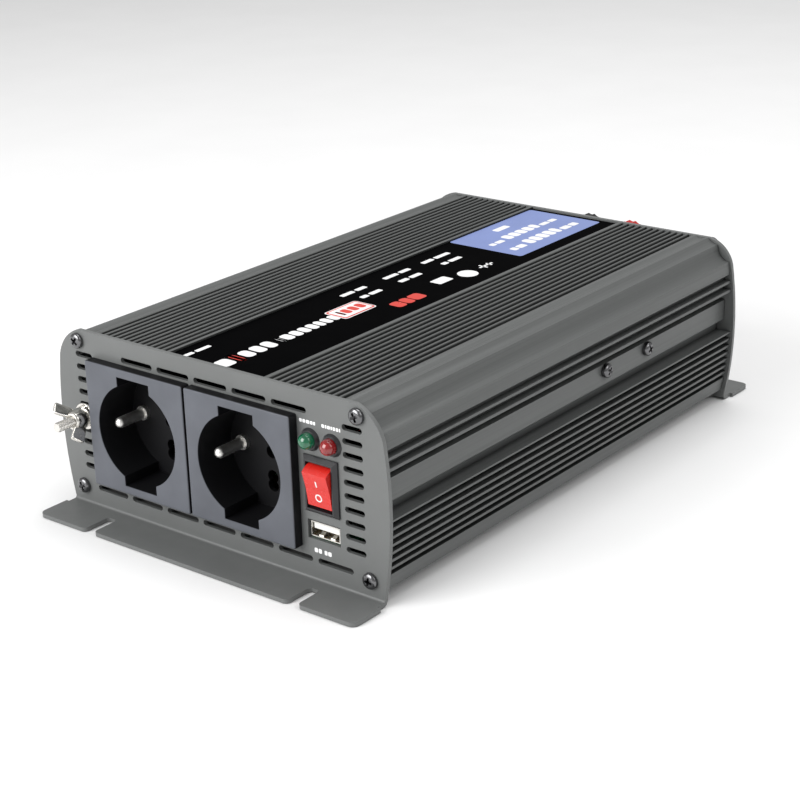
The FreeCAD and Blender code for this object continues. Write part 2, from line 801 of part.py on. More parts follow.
# ---------------------------------------------------------------- finned housing
def housing_outline():
    """Outside of the extrusion: bellied sides, scalloped shoulders, top with a channel for the label."""
    def half(sign):
        return {
            "base": (f"{sign} * (panel_base_half - panel_overlap)", "housing_base"),
            "waist": (f"{sign} * (panel_waist_half - panel_overlap)", "panel_waist_level"),
            "band": (f"{sign} * (shoulder_half - panel_overlap)", "side_band_top"),
            "cove": (f"{sign} * (corner_half - cove_in)", "corner_level - cove_drop"),
            "facet_low": (f"{sign} * (corner_half - facet_low_in)", "corner_level - facet_low_drop"),
            "facet_high": (f"{sign} * (corner_half - facet_high_in)", "corner_level + facet_high_rise"),
            "scallop": (f"{sign} * (top_half + scallop_out)", "housing_top - scallop_drop"),
            "edge": (f"{sign} * (top_half - edge_start_in)", "housing_top"),
            "edge_in": (f"{sign} * (top_half - edge_end_in)", "housing_top"),
            "dip": (f"{sign} * (top_half - dip_in)", "housing_top - edge_dip"),
            "rib_end": (f"{sign} * (top_half - rib_end_in)", "housing_top"),
            "channel": (f"{sign} * channel_half", "housing_top"),
            "channel_floor": (f"{sign} * channel_half", "housing_top - channel_depth"),
        }
    right, left = half(1), half(-1)
    return [
        right["base"] + right["waist"],
        right["band"] + right["cove"],
        right["facet_low"],
        right["facet_high"] + right["scallop"],
        right["edge"],
        right["edge_in"] + right["dip"],
        right["rib_end"],
        right["channel"],
        right["channel_floor"],
        left["channel_floor"],
        left["channel"],
        left["rib_end"] + left["dip"],
        left["edge_in"],
        left["edge"] + left["scallop"],
        left["facet_high"],
        left["facet_low"] + left["cove"],
        left["band"] + left["waist"],
        left["base"],
    ]


def cavity_outline():
    """Inside of the extrusion, open at the bottom, leaving a screw boss in each corner."""
    def half(sign):
        return [
            (f"{sign} * boss_half", "housing_base - overshoot"),
            (f"{sign} * boss_half", "base_boss_top"),
            (f"{sign} * cavity_half", "base_boss_top + cavity_slope_rise"),
            (f"{sign} * cavity_half", "top_boss_base"),
            (f"{sign} * (boss_half - cavity_slope_in)", "cavity_top"),
        ]
    return half(1) + half(-1)[::-1]


def groove_profile(sign, centre, upright):
    """Profile of one groove with broken edges, from its mouth in to its floor.

    upright is False for a groove in the top, where centre is its distance from the middle plane, and
    True for a groove in a side wall, where centre is its level."""
    if upright:
        mouth, rim = "fin_face + overshoot", "fin_face"
        floor, half = "fin_face - fin_depth", "fin_gap / 2"
    else:
        mouth, rim = "housing_top + overshoot", "housing_top"
        floor, half = "housing_top - groove_depth", "groove_width / 2"
    depth_and_offset = [
        (mouth, f"-({half} + edge_break)"), (rim, f"-({half} + edge_break)"),
        (f"{rim} - edge_break", f"-({half})"), (floor, f"-({half} - groove_taper)"),
        (floor, f"{half} - groove_taper"), (f"{rim} - edge_break", half),
        (rim, f"{half} + edge_break"), (mouth, f"{half} + edge_break"),
    ]
    if upright:
        return [(f"{sign} * ({depth})", f"{centre} + {offset}") for depth, offset in depth_and_offset]
    return [(f"{sign} * ({centre} + {offset})", depth) for depth, offset in depth_and_offset]


def heatsink_housing():
    body = new_body("heatsink_housing")
    length, through = "body_length - 2 * sheet", "body_length"
    section = new_sketch(body, "section", "XZ")
    draw_outline(section, housing_outline())
    pad(body, "section_pad", section, length, both_ways=True)
    cavity = new_sketch(body, "cavity", "XZ")
    draw_outline(cavity, cavity_outline())
    pocket(body, "cavity_cut", cavity, through, both_ways=True)
    for side, sign in (("right", RIGHT), ("left", LEFT)):
        rib = new_sketch(body, side + "_rib_groove", "XZ")
        draw_outline(rib, groove_profile(sign, "(first_rib - rib_pitch / 2)", upright=False))
        first = pocket(body, side + "_rib_groove_cut", rib, through, both_ways=True)
        linear_pattern(body, side + "_ribs", first, "X", "rib_pitch", 12, reverse=sign == LEFT)
        fin = new_sketch(body, side + "_fin_groove", "XZ")
        draw_outline(fin, groove_profile(sign, "(first_fin - fin_pitch / 2)", upright=True))
        first = pocket(body, side + "_fin_groove_cut", fin, through, both_ways=True)
        linear_pattern(body, side + "_fins", first, "Z", "fin_pitch", 7)
        upper = new_sketch(body, side + "_upper_groove", "XZ")
        draw_outline(upper, rectangle(
            f"{sign} * (fin_face - upper_groove_depth)", f"{sign} * (fin_face + overshoot)",
            "upper_groove_level", "upper_groove_level + upper_groove_gap"))
        first = pocket(body, side + "_upper_groove_cut", upper, through, both_ways=True)
        linear_pattern(body, side + "_upper_grooves", first, "Z", "upper_groove_pitch", 2)
        rail = new_sketch(body, side + "_rail", "XZ")
        draw_outline(rail, [
            (f"{sign} * (fin_face + overshoot)", "rail_pocket_base"),
            (f"{sign} * rail_pocket", "rail_pocket_base"),
            (f"{sign} * rail_pocket", "rail_base"),
            (f"{sign} * rail_face", "rail_base"),
            (f"{sign} * rail_face", "rail_top"),
            (f"{sign} * rail_pocket", "rail_top"),
            (f"{sign} * rail_pocket", "rail_pocket_top"),
            (f"{sign} * (fin_face + overshoot)", "rail_pocket_top"),
        ])
        pocket(body, side + "_rail_cut", rail, through, both_ways=True)
        slot = new_sketch(body, side + "_cover_slot", "XZ")
        draw_outline(slot, rectangle(
            f"{sign} * (boss_half - overshoot)", f"{sign} * cover_slot_half",
            "cover_level - snap_gap", "cover_level + cover_thick + snap_gap"))
        pocket(body, side + "_cover_slot_cut", slot, through, both_ways=True)
    channels = new_sketch(body, "screw_channels", "XZ")
    for sign in (RIGHT, LEFT):
        draw_circle(channels, f"{sign} * top_screw_x", "top_screw_level", "screw_core_radius")
        draw_circle(channels, f"{sign} * base_screw_x", "base_screw_level", "screw_core_radius")
    pocket(body, "screw_channels_cut", channels, through, both_ways=True)
    clamps = new_sketch(body, "clamp_holes", "YZ")
    for row in (0, 1):
        draw_circle(clamps, f"clamp_screw_rear - {row} * clamp_screw_pitch", "clamp_screw_level",
                    "clamp_screw_radius + snap_gap")
    pocket(body, "clamp_holes_cut", clamps, "panel_waist_half * 2", both_ways=True)
    keep("heatsink_housing", body)


def top_label():
    length = "(body_length - 2 * sheet - 2 * label_end_gap)"
    keep("top_label", box("top_label", ("label_half * 2", length, "label_thick"),
                          ("-label_half", f"-{length} / 2", "housing_top - channel_depth")))


def bottom_cover():
    length = "(body_length - 2 * sheet - 2 * cover_end_gap)"
    plate = box("bottom_cover_plate", ("cover_half * 2", length, "cover_thick"),
                ("-cover_half", f"-{length} / 2", "cover_level"))
    holes = []
    for index, (x, y) in enumerate(standoff_places()):
        holes.append(cylinder(f"cover_hole_{index}", "board_hole_radius", "cover_thick * 3",
                              (x, y, "cover_level - cover_thick")))
    keep("bottom_cover", cut("bottom_cover", plate, holes))


# ---------------------------------------------------------------- screws
STEP_OUT = {"x": (1, 0, 0), "-x": (-1, 0, 0), "y": (0, 1, 0), "-y": (0, -1, 0), "z": (0, 0, 1)}
OPPOSITE = {"x": "-x", "-x": "x", "y": "-y", "-y": "y"}
HEAD_RIM_SHARE = 0.55                # share of a screw head's height that is straight
HEAD_TOP_SHARE = 0.72                # share of its radius that is left at the top


def pan_screw(name, at, direction, core, head, height, length):
    """A pan-head screw with a cross recess. at is the seat under its head; it points along direction."""
    def out(distance):
        return tuple(f"{base} + {sign} * ({distance})" for base, sign in zip(at, STEP_OUT[direction]))

    rim_height = f"{height} * {HEAD_RIM_SHARE}"
    low = cylinder(name + "_head_rim", head, rim_height, at, direction)
    high = cone(name + "_head_top", head, f"{head} * {HEAD_TOP_SHARE}", f"{height} - {rim_height}",
                out(rim_height), direction)
    if direction == "z":
        shank = cylinder(name + "_shank", core, length, out(f"-({length})"))
    else:
        shank = cylinder(name + "_shank", core, length, at, OPPOSITE[direction])
    solid = fuse(name + "_solid", [low, high, shank])
    top = out(f"{height} - recess_depth / 2")
    spans = {"x": ("{deep}", "{a}", "{b}"), "y": ("{a}", "{deep}", "{b}"), "z": ("{a}", "{b}", "{deep}")}
    slots = []
    for index, (a, b) in enumerate((("recess_width", "recess_span"), ("recess_span", "recess_width"))):
        size = tuple(span.format(a=a, b=b, deep="recess_depth") for span in spans[direction[-1]])
        slots.append(centred_box(f"{name}_recess_{index}", size, top))
    return cut(name, solid, slots)


def panel_screws(node, sign):
    """The four corner screws of one end panel. sign is -1 at the front and 1 at the rear."""
    direction = "y" if sign > 0 else "-y"
    screws = []
    for side in (RIGHT, LEFT):
        for place in ("top", "base"):
            at = (f"{side} * {place}_screw_x", f"{sign} * body_length / 2", f"{place}_screw_level")
            screws.append(pan_screw(f"{node}_{place}_{'r' if side > 0 else 'l'}", at, direction,
                                    "screw_core_radius - snap_gap / 2", "screw_head_radius",
                                    "screw_head_height", "screw_length"))
    keep(node, group(node, screws))


def clamp_screws(node, sign):
    """Two screws through a side rail into the bar that presses the transistors on the wall."""
    direction = "x" if sign > 0 else "-x"
    screws = []
    for row in (0, 1):
        at = (f"{sign} * rail_face", f"clamp_screw_rear - {row} * clamp_screw_pitch", "clamp_screw_level")
        screws.append(pan_screw(f"{node}_{row}", at, direction, "clamp_screw_radius",
                                "clamp_head_radius", "clamp_head_height", "clamp_screw_length"))
    keep(node, group(node, screws))


# ---------------------------------------------------------------- sockets
def socket(side, sign):
    """One outlet: a square faceplate with its cup, two contacts and an earth pin."""
    name = f"socket_{side}"
    x = f"(socket_pair_x + {sign} * socket_pitch / 2)"
    face = "(-body_length / 2 - faceplate_proud)"
    floor = f"({face} + recess_deep)"
    body = new_body(name + "_faceplate", (x, "-body_length / 2", "socket_level"))
    plate = new_sketch(body, name + "_plate", "XZ")
    draw_outline(plate, rounded_square("faceplate / 2", "faceplate_round"))
    block = pad(body, name + "_plate_pad", plate, "faceplate_proud")
    soften_rim(body, name + "_rim", block, "faceplate_edge")
    cup_length = "recess_deep - faceplate_proud + cup_floor"
    cup = new_sketch(body, name + "_cup", "XZ")
    draw_circle(cup, "0", "0", "recess_radius + cup_wall")
    pad(body, name + "_cup_pad", cup, cup_length, reverse=True)
    cheeks = new_sketch(body, name + "_cheeks", "XZ")
    draw_outline(cheeks, rectangle(
        "-(notch_width / 2 + cup_wall)", "notch_width / 2 + cup_wall",
        "-(notch_reach + cheek_wall)", "notch_reach + cheek_wall"))
    pad(body, name + "_cheeks_pad", cheeks, cup_length, reverse=True)
    recess = new_sketch(body, name + "_recess", "XZ", "faceplate_proud")
    draw_circle(recess, "0", "0", "recess_radius")
    pocket(body, name + "_recess_cut", recess, "recess_deep")
    notch = new_sketch(body, name + "_notch", "XZ", "faceplate_proud")
    draw_outline(notch, rectangle("-notch_width / 2", "notch_width / 2", "-notch_reach", "notch_reach"))
    pocket(body, name + "_notch_cut", notch, "recess_deep")
    for ring, step in (("near", "-bridge_step"), ("far", "bridge_step")):
        holes = new_sketch(body, f"{name}_{ring}_holes", "XZ", "faceplate_proud - recess_deep")
        for up in (RIGHT, LEFT):
            draw_circle(holes, "0", f"{up} * (bridge_offset + {step})", "bridge_radius")
        if ring == "near":
            draw_circle(holes, "0", "0", "earth_hole_radius")
            draw_circle(holes, "-pin_offset", "pin_rise", "pin_radius")
        pocket(body, f"{name}_{ring}_holes_cut", holes, "cup_floor * 1.5")
    keep(name + "_faceplate", body)
    socket_contacts(name, x, floor)
    socket_earth(name, x, floor)


def soften_rim(body, name, block, radius):
    """Round the outer edges of a body's foremost face."""
    DOC.recompute()
    front = block.Shape.BoundBox.YMin
    edges = enumerate(block.Shape.Edges, start=1)
    rim = [f"Edge{index}" for index, edge in edges if edge.BoundBox.YMax < front + 1e-6]
    feature = body.newObject("PartDesign::Fillet", name)
    feature.Base = (block, rim)
    feature.setExpression("Radius", formula(radius))
    DOC.recompute()


def rounded_square(half, radius):
    """A square outline centred on the origin, with small round corners."""
    corner = f"{half} - {radius} * arc_inset"
    inner = f"{half} - {radius}"
    return [
        (f"-({inner})", f"-({half})"),
        (inner, f"-({half})", corner, f"-({corner})"),
        (half, f"-({inner})"),
        (half, inner, corner, corner),
        (inner, half),
        (f"-({inner})", half, f"-({corner})", corner),
        (f"-({half})", inner),
        (f"-({half})", f"-({inner})", f"-({corner})", f"-({corner})"),
    ]


def socket_contacts(name, x, floor):
    """Live and neutral contacts: split brass boxes behind the two hole pairs."""
    contacts = []
    front = f"({floor} + contact_start)"
    back = f"({front} + contact_deep)"
    slit_size = ("contact_wide * 1.2", "contact_slit_deep", "contact_slit_tall")
    tail_size = ("contact_tail_wide", "contact_tail_length", "contact_tail_thick")
    mouth_deep = "(contact_deep + overshoot - contact_back_wall)"
    for up in (RIGHT, LEFT):
        prefix = f"{name}_contact_{up}"
        level = f"socket_level + {up} * bridge_offset"
        shell = centred_box(prefix + "_shell", ("contact_wide", "contact_deep", "contact_tall"),
                            (x, f"{front} + contact_deep / 2", level))
        mouth = centred_box(prefix + "_mouth", ("contact_wide - 2 * contact_wall", mouth_deep,
                                                "contact_tall - 2 * contact_top_wall"),
                            (x, f"{back} - contact_back_wall - {mouth_deep} / 2", level))
        slit = centred_box(prefix + "_slit", slit_size, (x, f"{front} + contact_slit_deep / 2", level))
        tail = centred_box(prefix + "_tail", tail_size,
                           (x, f"{back} - contact_tail_lap + contact_tail_length / 2", level))
        hollow = cut(prefix + "_box", shell, [mouth, slit])
        contacts.append(fuse(prefix, [hollow, tail]))
    keep(name + "_contacts", group(name + "_contacts", contacts))


def socket_earth(name, x, floor):
    """The round earth pin at one side of the recess."""
    pin_x = f"{x} - pin_offset"
    level = "socket_level + pin_rise"
    shaft = cylinder(name + "_pin_shaft", "pin_radius", "pin_length - pin_radius + pin_root",
                     (pin_x, f"{floor} + pin_root", level), "-y")
    tip = DOC.addObject("Part::Sphere", name + "_pin_tip")
    bind(tip, Radius="pin_radius")
    locate(tip, (pin_x, f"{floor} - pin_length + pin_radius", level))
    collar = cylinder(name + "_pin_collar", "pin_collar_radius", "pin_collar_thick",
                      (pin_x, floor, level), "-y")
    keep(name + "_earth_pin", fuse(name + "_earth_pin", [shaft, tip, collar]))


# ---------------------------------------------------------------- indicator lights
def lights():
    """Two round bezels and the green and red lights in them."""
    face = "-body_length / 2"
    bezels = []
    for colour, x in (("green", "green_light_x"), ("red", "red_light_x")):
        rim = cone(colour + "_bezel_rim", "light_bezel_radius", "light_bezel_radius - light_bezel_slope",
                   "light_bezel_proud", (x, face, "light_level"), "-y")
        sleeve = cylinder(colour + "_bezel_sleeve", "light_sleeve_radius", "light_sleeve_length",
                          (x, face, "light_level"), "y")
        bore = cylinder(colour + "_bezel_bore", "light_radius + snap_gap / 2",
                        "light_sleeve_length + 2 * overshoot", (x, f"{face} - overshoot", "light_level"), "y")
        ring = fuse(colour + "_bezel_ring", [rim, sleeve])
        bezels.append(cut(colour + "_bezel", ring, [bore]))
        barrel = cylinder(colour + "_barrel", "light_radius", "light_proud - light_radius + light_root",
                          (x, f"{face} + light_root", "light_level"), "-y")
        dome = DOC.addObject("Part::Sphere", colour + "_dome")
        bind(dome, Radius="light_radius")
        locate(dome, (x, f"{face} - light_proud + light_radius", "light_level"))
        leg_y = f"{face} + light_root - snap_gap + light_leg_length / 2"
        legs = [centred_box(f"{colour}_leg_{side}", ("light_leg", "light_leg_length", "light_leg"),
                            (f"{x} + {side} * light_leg_offset", leg_y, "light_level"))
                for side in (RIGHT, LEFT)]
        keep(colour + "_light", fuse(colour + "_light", [barrel, dome] + legs))
    keep("light_bezels", group("light_bezels", bezels))


# ---------------------------------------------------------------- rocker switch
def switch():
    """Rocker switch: a bevelled bezel with its body, the rocker on its pivot, and three blades."""
    face = "(-body_length / 2)"
    centre = ("switch_x", face, "switch_level")
    bezel = centred_box("switch_bezel", ("switch_bezel_wide", "switch_bezel_proud", "switch_bezel_tall"),
                        (centre[0], f"{face} - switch_bezel_proud / 2", centre[2]))
    DOC.recompute()
    front = bezel.Shape.BoundBox.YMin
    bevel = number("switch_bezel_bevel")
    bevelled = DOC.addObject("Part::Chamfer", "switch_bezel_bevelled")
    bevelled.Base = bezel
    edges = enumerate(bezel.Shape.Edges, start=1)
    bevelled.Edges = [(index, bevel, bevel) for index, edge in edges if edge.BoundBox.YMax < front + 1e-6]
    barrel = centred_box("switch_barrel", ("switch_body_wide", "switch_body_deep", "switch_body_tall"),
                         (centre[0], f"{face} + switch_body_deep / 2", centre[2]))
    well_length = "(well_deep + switch_bezel_proud + overshoot / 2)"
    well_size = ("rocker_wide + 2 * rocker_clearance", well_length,
                 "rocker_tall + 2 * (rocker_clearance + well_spare)")
    well = centred_box("switch_well", well_size,
                       (centre[0], f"{face} + well_deep - {well_length} / 2", centre[2]))
    pin_reach = "rocker_wide / 2 + rocker_pin_proud + rocker_pin_hole_spare"
    pivot = cylinder("switch_pivot_hole", "rocker_pin_radius + snap_gap / 2", f"2 * ({pin_reach})",
                     (f"switch_x - ({pin_reach})", f"{face} + rocker_axis_depth", "switch_level"), "x")
    shell = fuse("switch_shell", [bevelled, barrel])
    keep("switch_housing", cut("switch_housing", shell, [well, pivot]))
    blades = []
    for step in (-1, 0, 1):
        blades.append(centred_box(f"switch_blade_{step}", ("blade_wide", "blade_length", "blade_thick"),
                                  (centre[0], f"{face} + switch_body_deep + blade_length / 2",
                                   f"switch_level + {step} * blade_pitch")))
    keep("switch_blades", group("switch_blades", blades))
    rocker()


def rocker():
    """The rocker turns about X. At rest its top half stands out, which is the off position."""
    body = DOC.addObject("PartDesign::Body", "switch_rocker")
    about_x = FreeCAD.Rotation(FreeCAD.Vector(1, 0, 0), number("rocker_throw / 2"))
    body.Placement = FreeCAD.Placement(FreeCAD.Vector(), about_x)
    body.setExpression("Placement.Rotation.Angle", formula("rocker_throw / 2"))
    for axis, text in zip("xyz", ("switch_x", "-body_length / 2 + rocker_axis_depth", "switch_level")):
        body.setExpression(f"Placement.Base.{axis}", formula(text))
    profile = new_sketch(body, "rocker_profile", "YZ")
    end, side = "rocker_tall / 2 - rocker_face_round", "rocker_tall / 2 - rocker_side_in"
    draw_outline(profile, [
        ("-rocker_face", "0"),
        ("-rocker_face_end", f"-({end})", "-rocker_nose", f"-({side})"),
        ("rocker_back", f"-({side})"),
        ("rocker_tail", "-rocker_tail_half"),
        ("rocker_tail", "rocker_tail_half"),
        ("rocker_back", side, "-rocker_nose", side),
        ("-rocker_face_end", end),
    ])
    pad(body, "rocker_pad", profile, "rocker_wide", both_ways=True)
    pin = new_sketch(body, "rocker_pin", "YZ")
    draw_circle(pin, "0", "0", "rocker_pin_radius")
    pad(body, "rocker_pin_pad", pin, "rocker_wide + 2 * rocker_pin_proud", both_ways=True)
    keep("switch_rocker", body)


# ---------------------------------------------------------------- USB port
def usb_port():
    """A folded metal shell, its insulating tongue with four contacts, and the small board behind it."""
    face = "(-body_length / 2 + usb_setback)"
    middle = f"{face} + usb_deep / 2"
    outer = centred_box("usb_outer", ("usb_wide", "usb_deep", "usb_tall"), ("usb_x", middle, "usb_level"))
    inner = centred_box("usb_inner", ("usb_wide - 2 * usb_wall", "usb_deep", "usb_tall - 2 * usb_wall"),
                        ("usb_x", f"{middle} - usb_wall", "usb_level"))
    keep("usb_shell", cut("usb_shell", outer, [inner]))
    tongue_level = "(usb_level + tongue_rise)"
    blade = centred_box("usb_blade", ("tongue_wide", "tongue_length", "tongue_thick"),
                        ("usb_x", f"{face} + tongue_length / 2 + tongue_setback", tongue_level))
    root = centred_box("usb_root", ("usb_wide - 2 * usb_wall", "tongue_root", "usb_tall - 2 * usb_wall"),
                       ("usb_x", f"{face} + usb_deep - usb_wall - tongue_root / 2", "usb_level"))
    keep("usb_tongue", fuse("usb_tongue", [blade, root]))
    strips = []
    strip_size = ("usb_contact_wide", "usb_contact_length", "usb_contact_thick")
    strip_level = f"{tongue_level} - tongue_thick / 2 - usb_contact_thick / 2"
    for side in (RIGHT, LEFT):
        for place in ("inner", "outer"):
            strips.append(centred_box(f"usb_contact_{place}_{side}", strip_size,
                                      (f"usb_x + {side} * usb_contact_{place}",
                                       f"{face} + usb_contact_middle", strip_level)))
    keep("usb_contacts", group("usb_contacts", strips))
    keep("usb_board", centred_box("usb_board", ("usb_board_wide", "usb_board_long", "usb_board_thick"),
                                  ("usb_x", f"{face} + usb_board_middle",
                                   "usb_level - usb_tall / 2 - usb_board_thick / 2")))


# ---------------------------------------------------------------- earth terminal
def earth_terminal():
    """A bolt through the front panel with a flat washer, a spring washer and a wing nut."""
    face = "(-body_length / 2)"
    inside = f"{face} + sheet"
    at = ("earth_x", inside, "earth_level")
    shank = cylinder("earth_shank", "earth_bolt_radius", "sheet + earth_bolt_proud - earth_bolt_bevel",
                     at, "-y")
    nose = cone("earth_nose", "earth_bolt_radius", "earth_bolt_radius - earth_bolt_bevel", "earth_bolt_bevel",
                ("earth_x", f"{face} - earth_bolt_proud + earth_bolt_bevel", "earth_level"), "-y")
    head = prism("earth_head", 6, "earth_bolt_head", "earth_bolt_head_thick", at, "y")
    keep("earth_bolt", fuse("earth_bolt", [shank, nose, head]))
    bore = "earth_bolt_radius + earth_clearance"
    flat = cylinder("flat_washer_disc", "flat_washer_radius", "flat_washer_thick",
                    ("earth_x", face, "earth_level"), "-y")
    flat_bore = cylinder("flat_washer_bore", bore, "flat_washer_thick + 2 * overshoot",
                         ("earth_x", f"{face} + overshoot", "earth_level"), "-y")
    keep("earth_flat_washer", cut("earth_flat_washer", flat, [flat_bore]))
    seat = f"{face} - flat_washer_thick"
    spring = cylinder("spring_washer_disc", "spring_washer_radius", "spring_washer_thick",
                      ("earth_x", seat, "earth_level"), "-y")
    spring_bore = cylinder("spring_washer_bore", bore, "spring_washer_thick + 2 * overshoot",
                           ("earth_x", f"{seat} + overshoot", "earth_level"), "-y")
    gap_size = ("spring_washer_gap", "spring_washer_thick * 2", "spring_washer_ring")
    gap = centred_box("spring_washer_cut", gap_size,
                      ("earth_x", f"{seat} - spring_washer_thick / 2",
                       "earth_level + earth_bolt_radius + spring_washer_ring / 2 - snap_gap"))
    keep("earth_spring_washer", cut("earth_spring_washer", spring, [spring_bore, gap]))
    wing_nut(f"{seat} - spring_washer_thick", bore)


def wing_nut(seat, bore):
    """Wing nut. Its local X runs through both wings, and its local -Y points off the bolt's end."""
    body = DOC.addObject("PartDesign::Body", "earth_wing_nut")
    axis = FreeCAD.Vector(0, -1, 0)
    body.Placement = FreeCAD.Placement(FreeCAD.Vector(), FreeCAD.Rotation(axis, number("wing_angle")))
    body.setExpression("Placement.Rotation.Angle", formula("wing_angle"))
    for name, text in zip("xyz", ("earth_x", seat, "earth_level")):
        body.setExpression(f"Placement.Base.{name}", formula(text))
    boss = new_sketch(body, "wing_boss", "YZ")
    draw_outline(boss, [
        ("0", "0"),
        ("0", "wing_boss_radius + wing_foot_out"),
        ("-wing_foot_height", "wing_boss_radius + wing_foot_out"),
        ("-wing_boss_height", "wing_boss_radius - wing_boss_in"),
        ("-wing_boss_height", "0"),
    ])
    turned = body.newObject("PartDesign::Revolution", "wing_boss_turned")
    turned.Profile = boss
    turned.ReferenceAxis = (origin_feature(body, "Y_Axis"), [""])
    turned.Angle = 360
    wings = new_sketch(body, "wings", "XY")
    for sign in (RIGHT, LEFT):
        draw_outline(wings, [
            (f"{sign} * wing_root_in", "-wing_root_rise"),
            (f"{sign} * wing_back", "-wing_back_rise"),
            (f"{sign} * wing_tip", "-wing_rise",
             f"{sign} * (wing_tip - wing_tip_round)", "-wing_rise - wing_tip_crown"),
            (f"{sign} * (wing_tip - wing_top_in)", "-wing_rise - wing_top_rise"),
            (f"{sign} * wing_inner", "-wing_boss_height"),
            (f"{sign} * wing_root_in", "-wing_boss_height"),
        ])
    pad(body, "wings_pad", wings, "wing_thick", both_ways=True)
    hole = new_sketch(body, "wing_bore", "XZ")
    draw_circle(hole, "0", "0", bore)
    pocket(body, "wing_bore_cut", hole, "wing_boss_height * 4", both_ways=True)
    keep("earth_wing_nut", body)


# ---------------------------------------------------------------- battery terminals
def battery_terminal(colour):
    """One terminal: stud with an inner nut, insulating collar, brass washer and fluted knob."""
    x, face = f"{colour}_post_x", "(body_length / 2)"
    name = f"{colour}_terminal"
    at = (x, face, "post_level")
    keep(f"{name}_stud", cylinder(f"{name}_stud", "post_stud_radius", "post_stud_length + post_stud_inner",
                                  (x, f"{face} - post_stud_inner", "post_level"), "y"))
    disc = cylinder(f"{name}_disc", "post_collar_radius", "post_collar_thick", at, "y")
    sleeve = cylinder(f"{name}_sleeve", "post_sleeve_radius", "post_sleeve_length",
                      (x, f"{face} - post_sleeve_length", "post_level"), "y")
    bore = cylinder(f"{name}_collar_bore", "post_stud_radius", "post_sleeve_length * 4",
                    (x, f"{face} - post_sleeve_length * 2", "post_level"), "y")
    keep(f"{name}_collar", cut(f"{name}_collar", fuse(f"{name}_collar_solid", [disc, sleeve]), [bore]))
    washer = cylinder(f"{name}_washer_disc", "post_washer_radius", "post_washer_thick",
                      (x, f"{face} + post_collar_thick", "post_level"), "y")
    hole = cylinder(f"{name}_washer_bore", "post_stud_radius + post_clearance",
                    "post_washer_thick + 2 * overshoot",
                    (x, f"{face} + post_collar_thick - overshoot", "post_level"), "y")
    keep(f"{name}_washer", cut(f"{name}_washer", washer, [hole]))
    terminal_knob(name, x, f"{face} + post_collar_thick + post_washer_thick")
    nut_base = f"{face} - post_sleeve_length - bar_clamp - bar_thick - post_nut_thick"
    nut = prism(f"{name}_nut_hex", 6, "post_nut_radius", "post_nut_thick", (x, nut_base, "post_level"), "y")
    nut_bore = cylinder(f"{name}_nut_bore", "post_stud_radius", "post_nut_thick + 2 * overshoot",
                        (x, f"{nut_base} - overshoot", "post_level"), "y")
    return cut(f"{name}_nut", nut, [nut_bore])


def terminal_knob(name, x, seat):
    """Knob with a narrow foot, a fluted grip and a blind bore; its local Y is its axis."""
    body = new_body(f"{name}_knob", (x, seat, "post_level"))
    profile = new_sketch(body, f"{name}_knob_profile", "YZ")
    draw_outline(profile, [
        ("0", "0"),
        ("0", "post_knob_radius - knob_foot_in"),
        ("knob_foot_height", "post_knob_radius - knob_foot_in"),
        ("knob_shoulder", "post_knob_radius"),
        ("post_knob_length - knob_bevel", "post_knob_radius"),
        ("post_knob_length", "post_knob_radius - knob_bevel"),
        ("post_knob_length", "0"),
    ])
    turned = body.newObject("PartDesign::Revolution", f"{name}_knob_turned")
    turned.Profile = profile
    turned.ReferenceAxis = (origin_feature(body, "Y_Axis"), [""])
    turned.Angle = 360
    bore = new_sketch(body, f"{name}_knob_bore", "XZ")
    draw_circle(bore, "0", "0", "post_stud_radius + post_clearance")
    pocket(body, f"{name}_knob_bore_cut", bore,
           "post_stud_length - post_collar_thick - post_washer_thick + knob_bore_spare")
    flute = new_sketch(body, f"{name}_flute", "XZ")
    draw_circle(flute, "0", "post_knob_radius + flute_out", "flute_radius")
    first = pocket(body, f"{name}_flute_cut", flute, "post_knob_length + overshoot")
    polar_pattern(body, f"{name}_flutes", first, "Y", 16)
    keep(f"{name}_knob", body)


# ---------------------------------------------------------------- fan
def fan():
    """Fan inside the rear panel: square frame with a strutted hub, a seven-blade rotor and a guard."""
    rear = "(body_length / 2 - sheet)"
    front = f"({rear} - fan_deep)"
    middle = ("fan_x", f"{front} + fan_deep / 2", "fan_level")
    block = centred_box("fan_block", ("fan_size", "fan_deep", "fan_size"), middle)
    bore = cylinder("fan_bore", "fan_bore_radius", "fan_deep + 2 * overshoot",
                    ("fan_x", f"{front} - overshoot", "fan_level"), "y")
    holes = []
    for x_sign in (RIGHT, LEFT):
        for z_sign in (RIGHT, LEFT):
            holes.append(cylinder(f"fan_hole_{x_sign}_{z_sign}", "fan_screw_hole", "fan_deep + 2 * overshoot",
                                  (f"fan_x + {x_sign} * fan_hole_pitch / 2", f"{front} - overshoot",
                                   f"fan_level + {z_sign} * fan_hole_pitch / 2"), "y"))
    ring = cut("fan_ring", block, [bore] + holes)
    hub = cylinder("fan_frame_hub", "fan_hub_radius", "fan_strut_deep", ("fan_x", front, "fan_level"), "y")
    strut_length = "(fan_bore_radius + strut_lap) * 2"
    strut_middle = ("fan_x", f"{front} + fan_strut_deep / 2", "fan_level")
    struts = [
        centred_box("fan_strut_across", (strut_length, "fan_strut_deep", "fan_strut"), strut_middle),
        centred_box("fan_strut_up", ("fan_strut", "fan_strut_deep", strut_length), strut_middle),
    ]
    bearing = cylinder("fan_bearing", "fan_shaft_radius + fan_bearing_gap", "fan_strut_deep + 2 * overshoot",
                       ("fan_x", f"{front} - overshoot", "fan_level"), "y")
    keep("fan_frame", cut("fan_frame", fuse("fan_frame_solid", [ring, hub] + struts), [bearing]))
    fan_rotor(front)
    fan_guard()


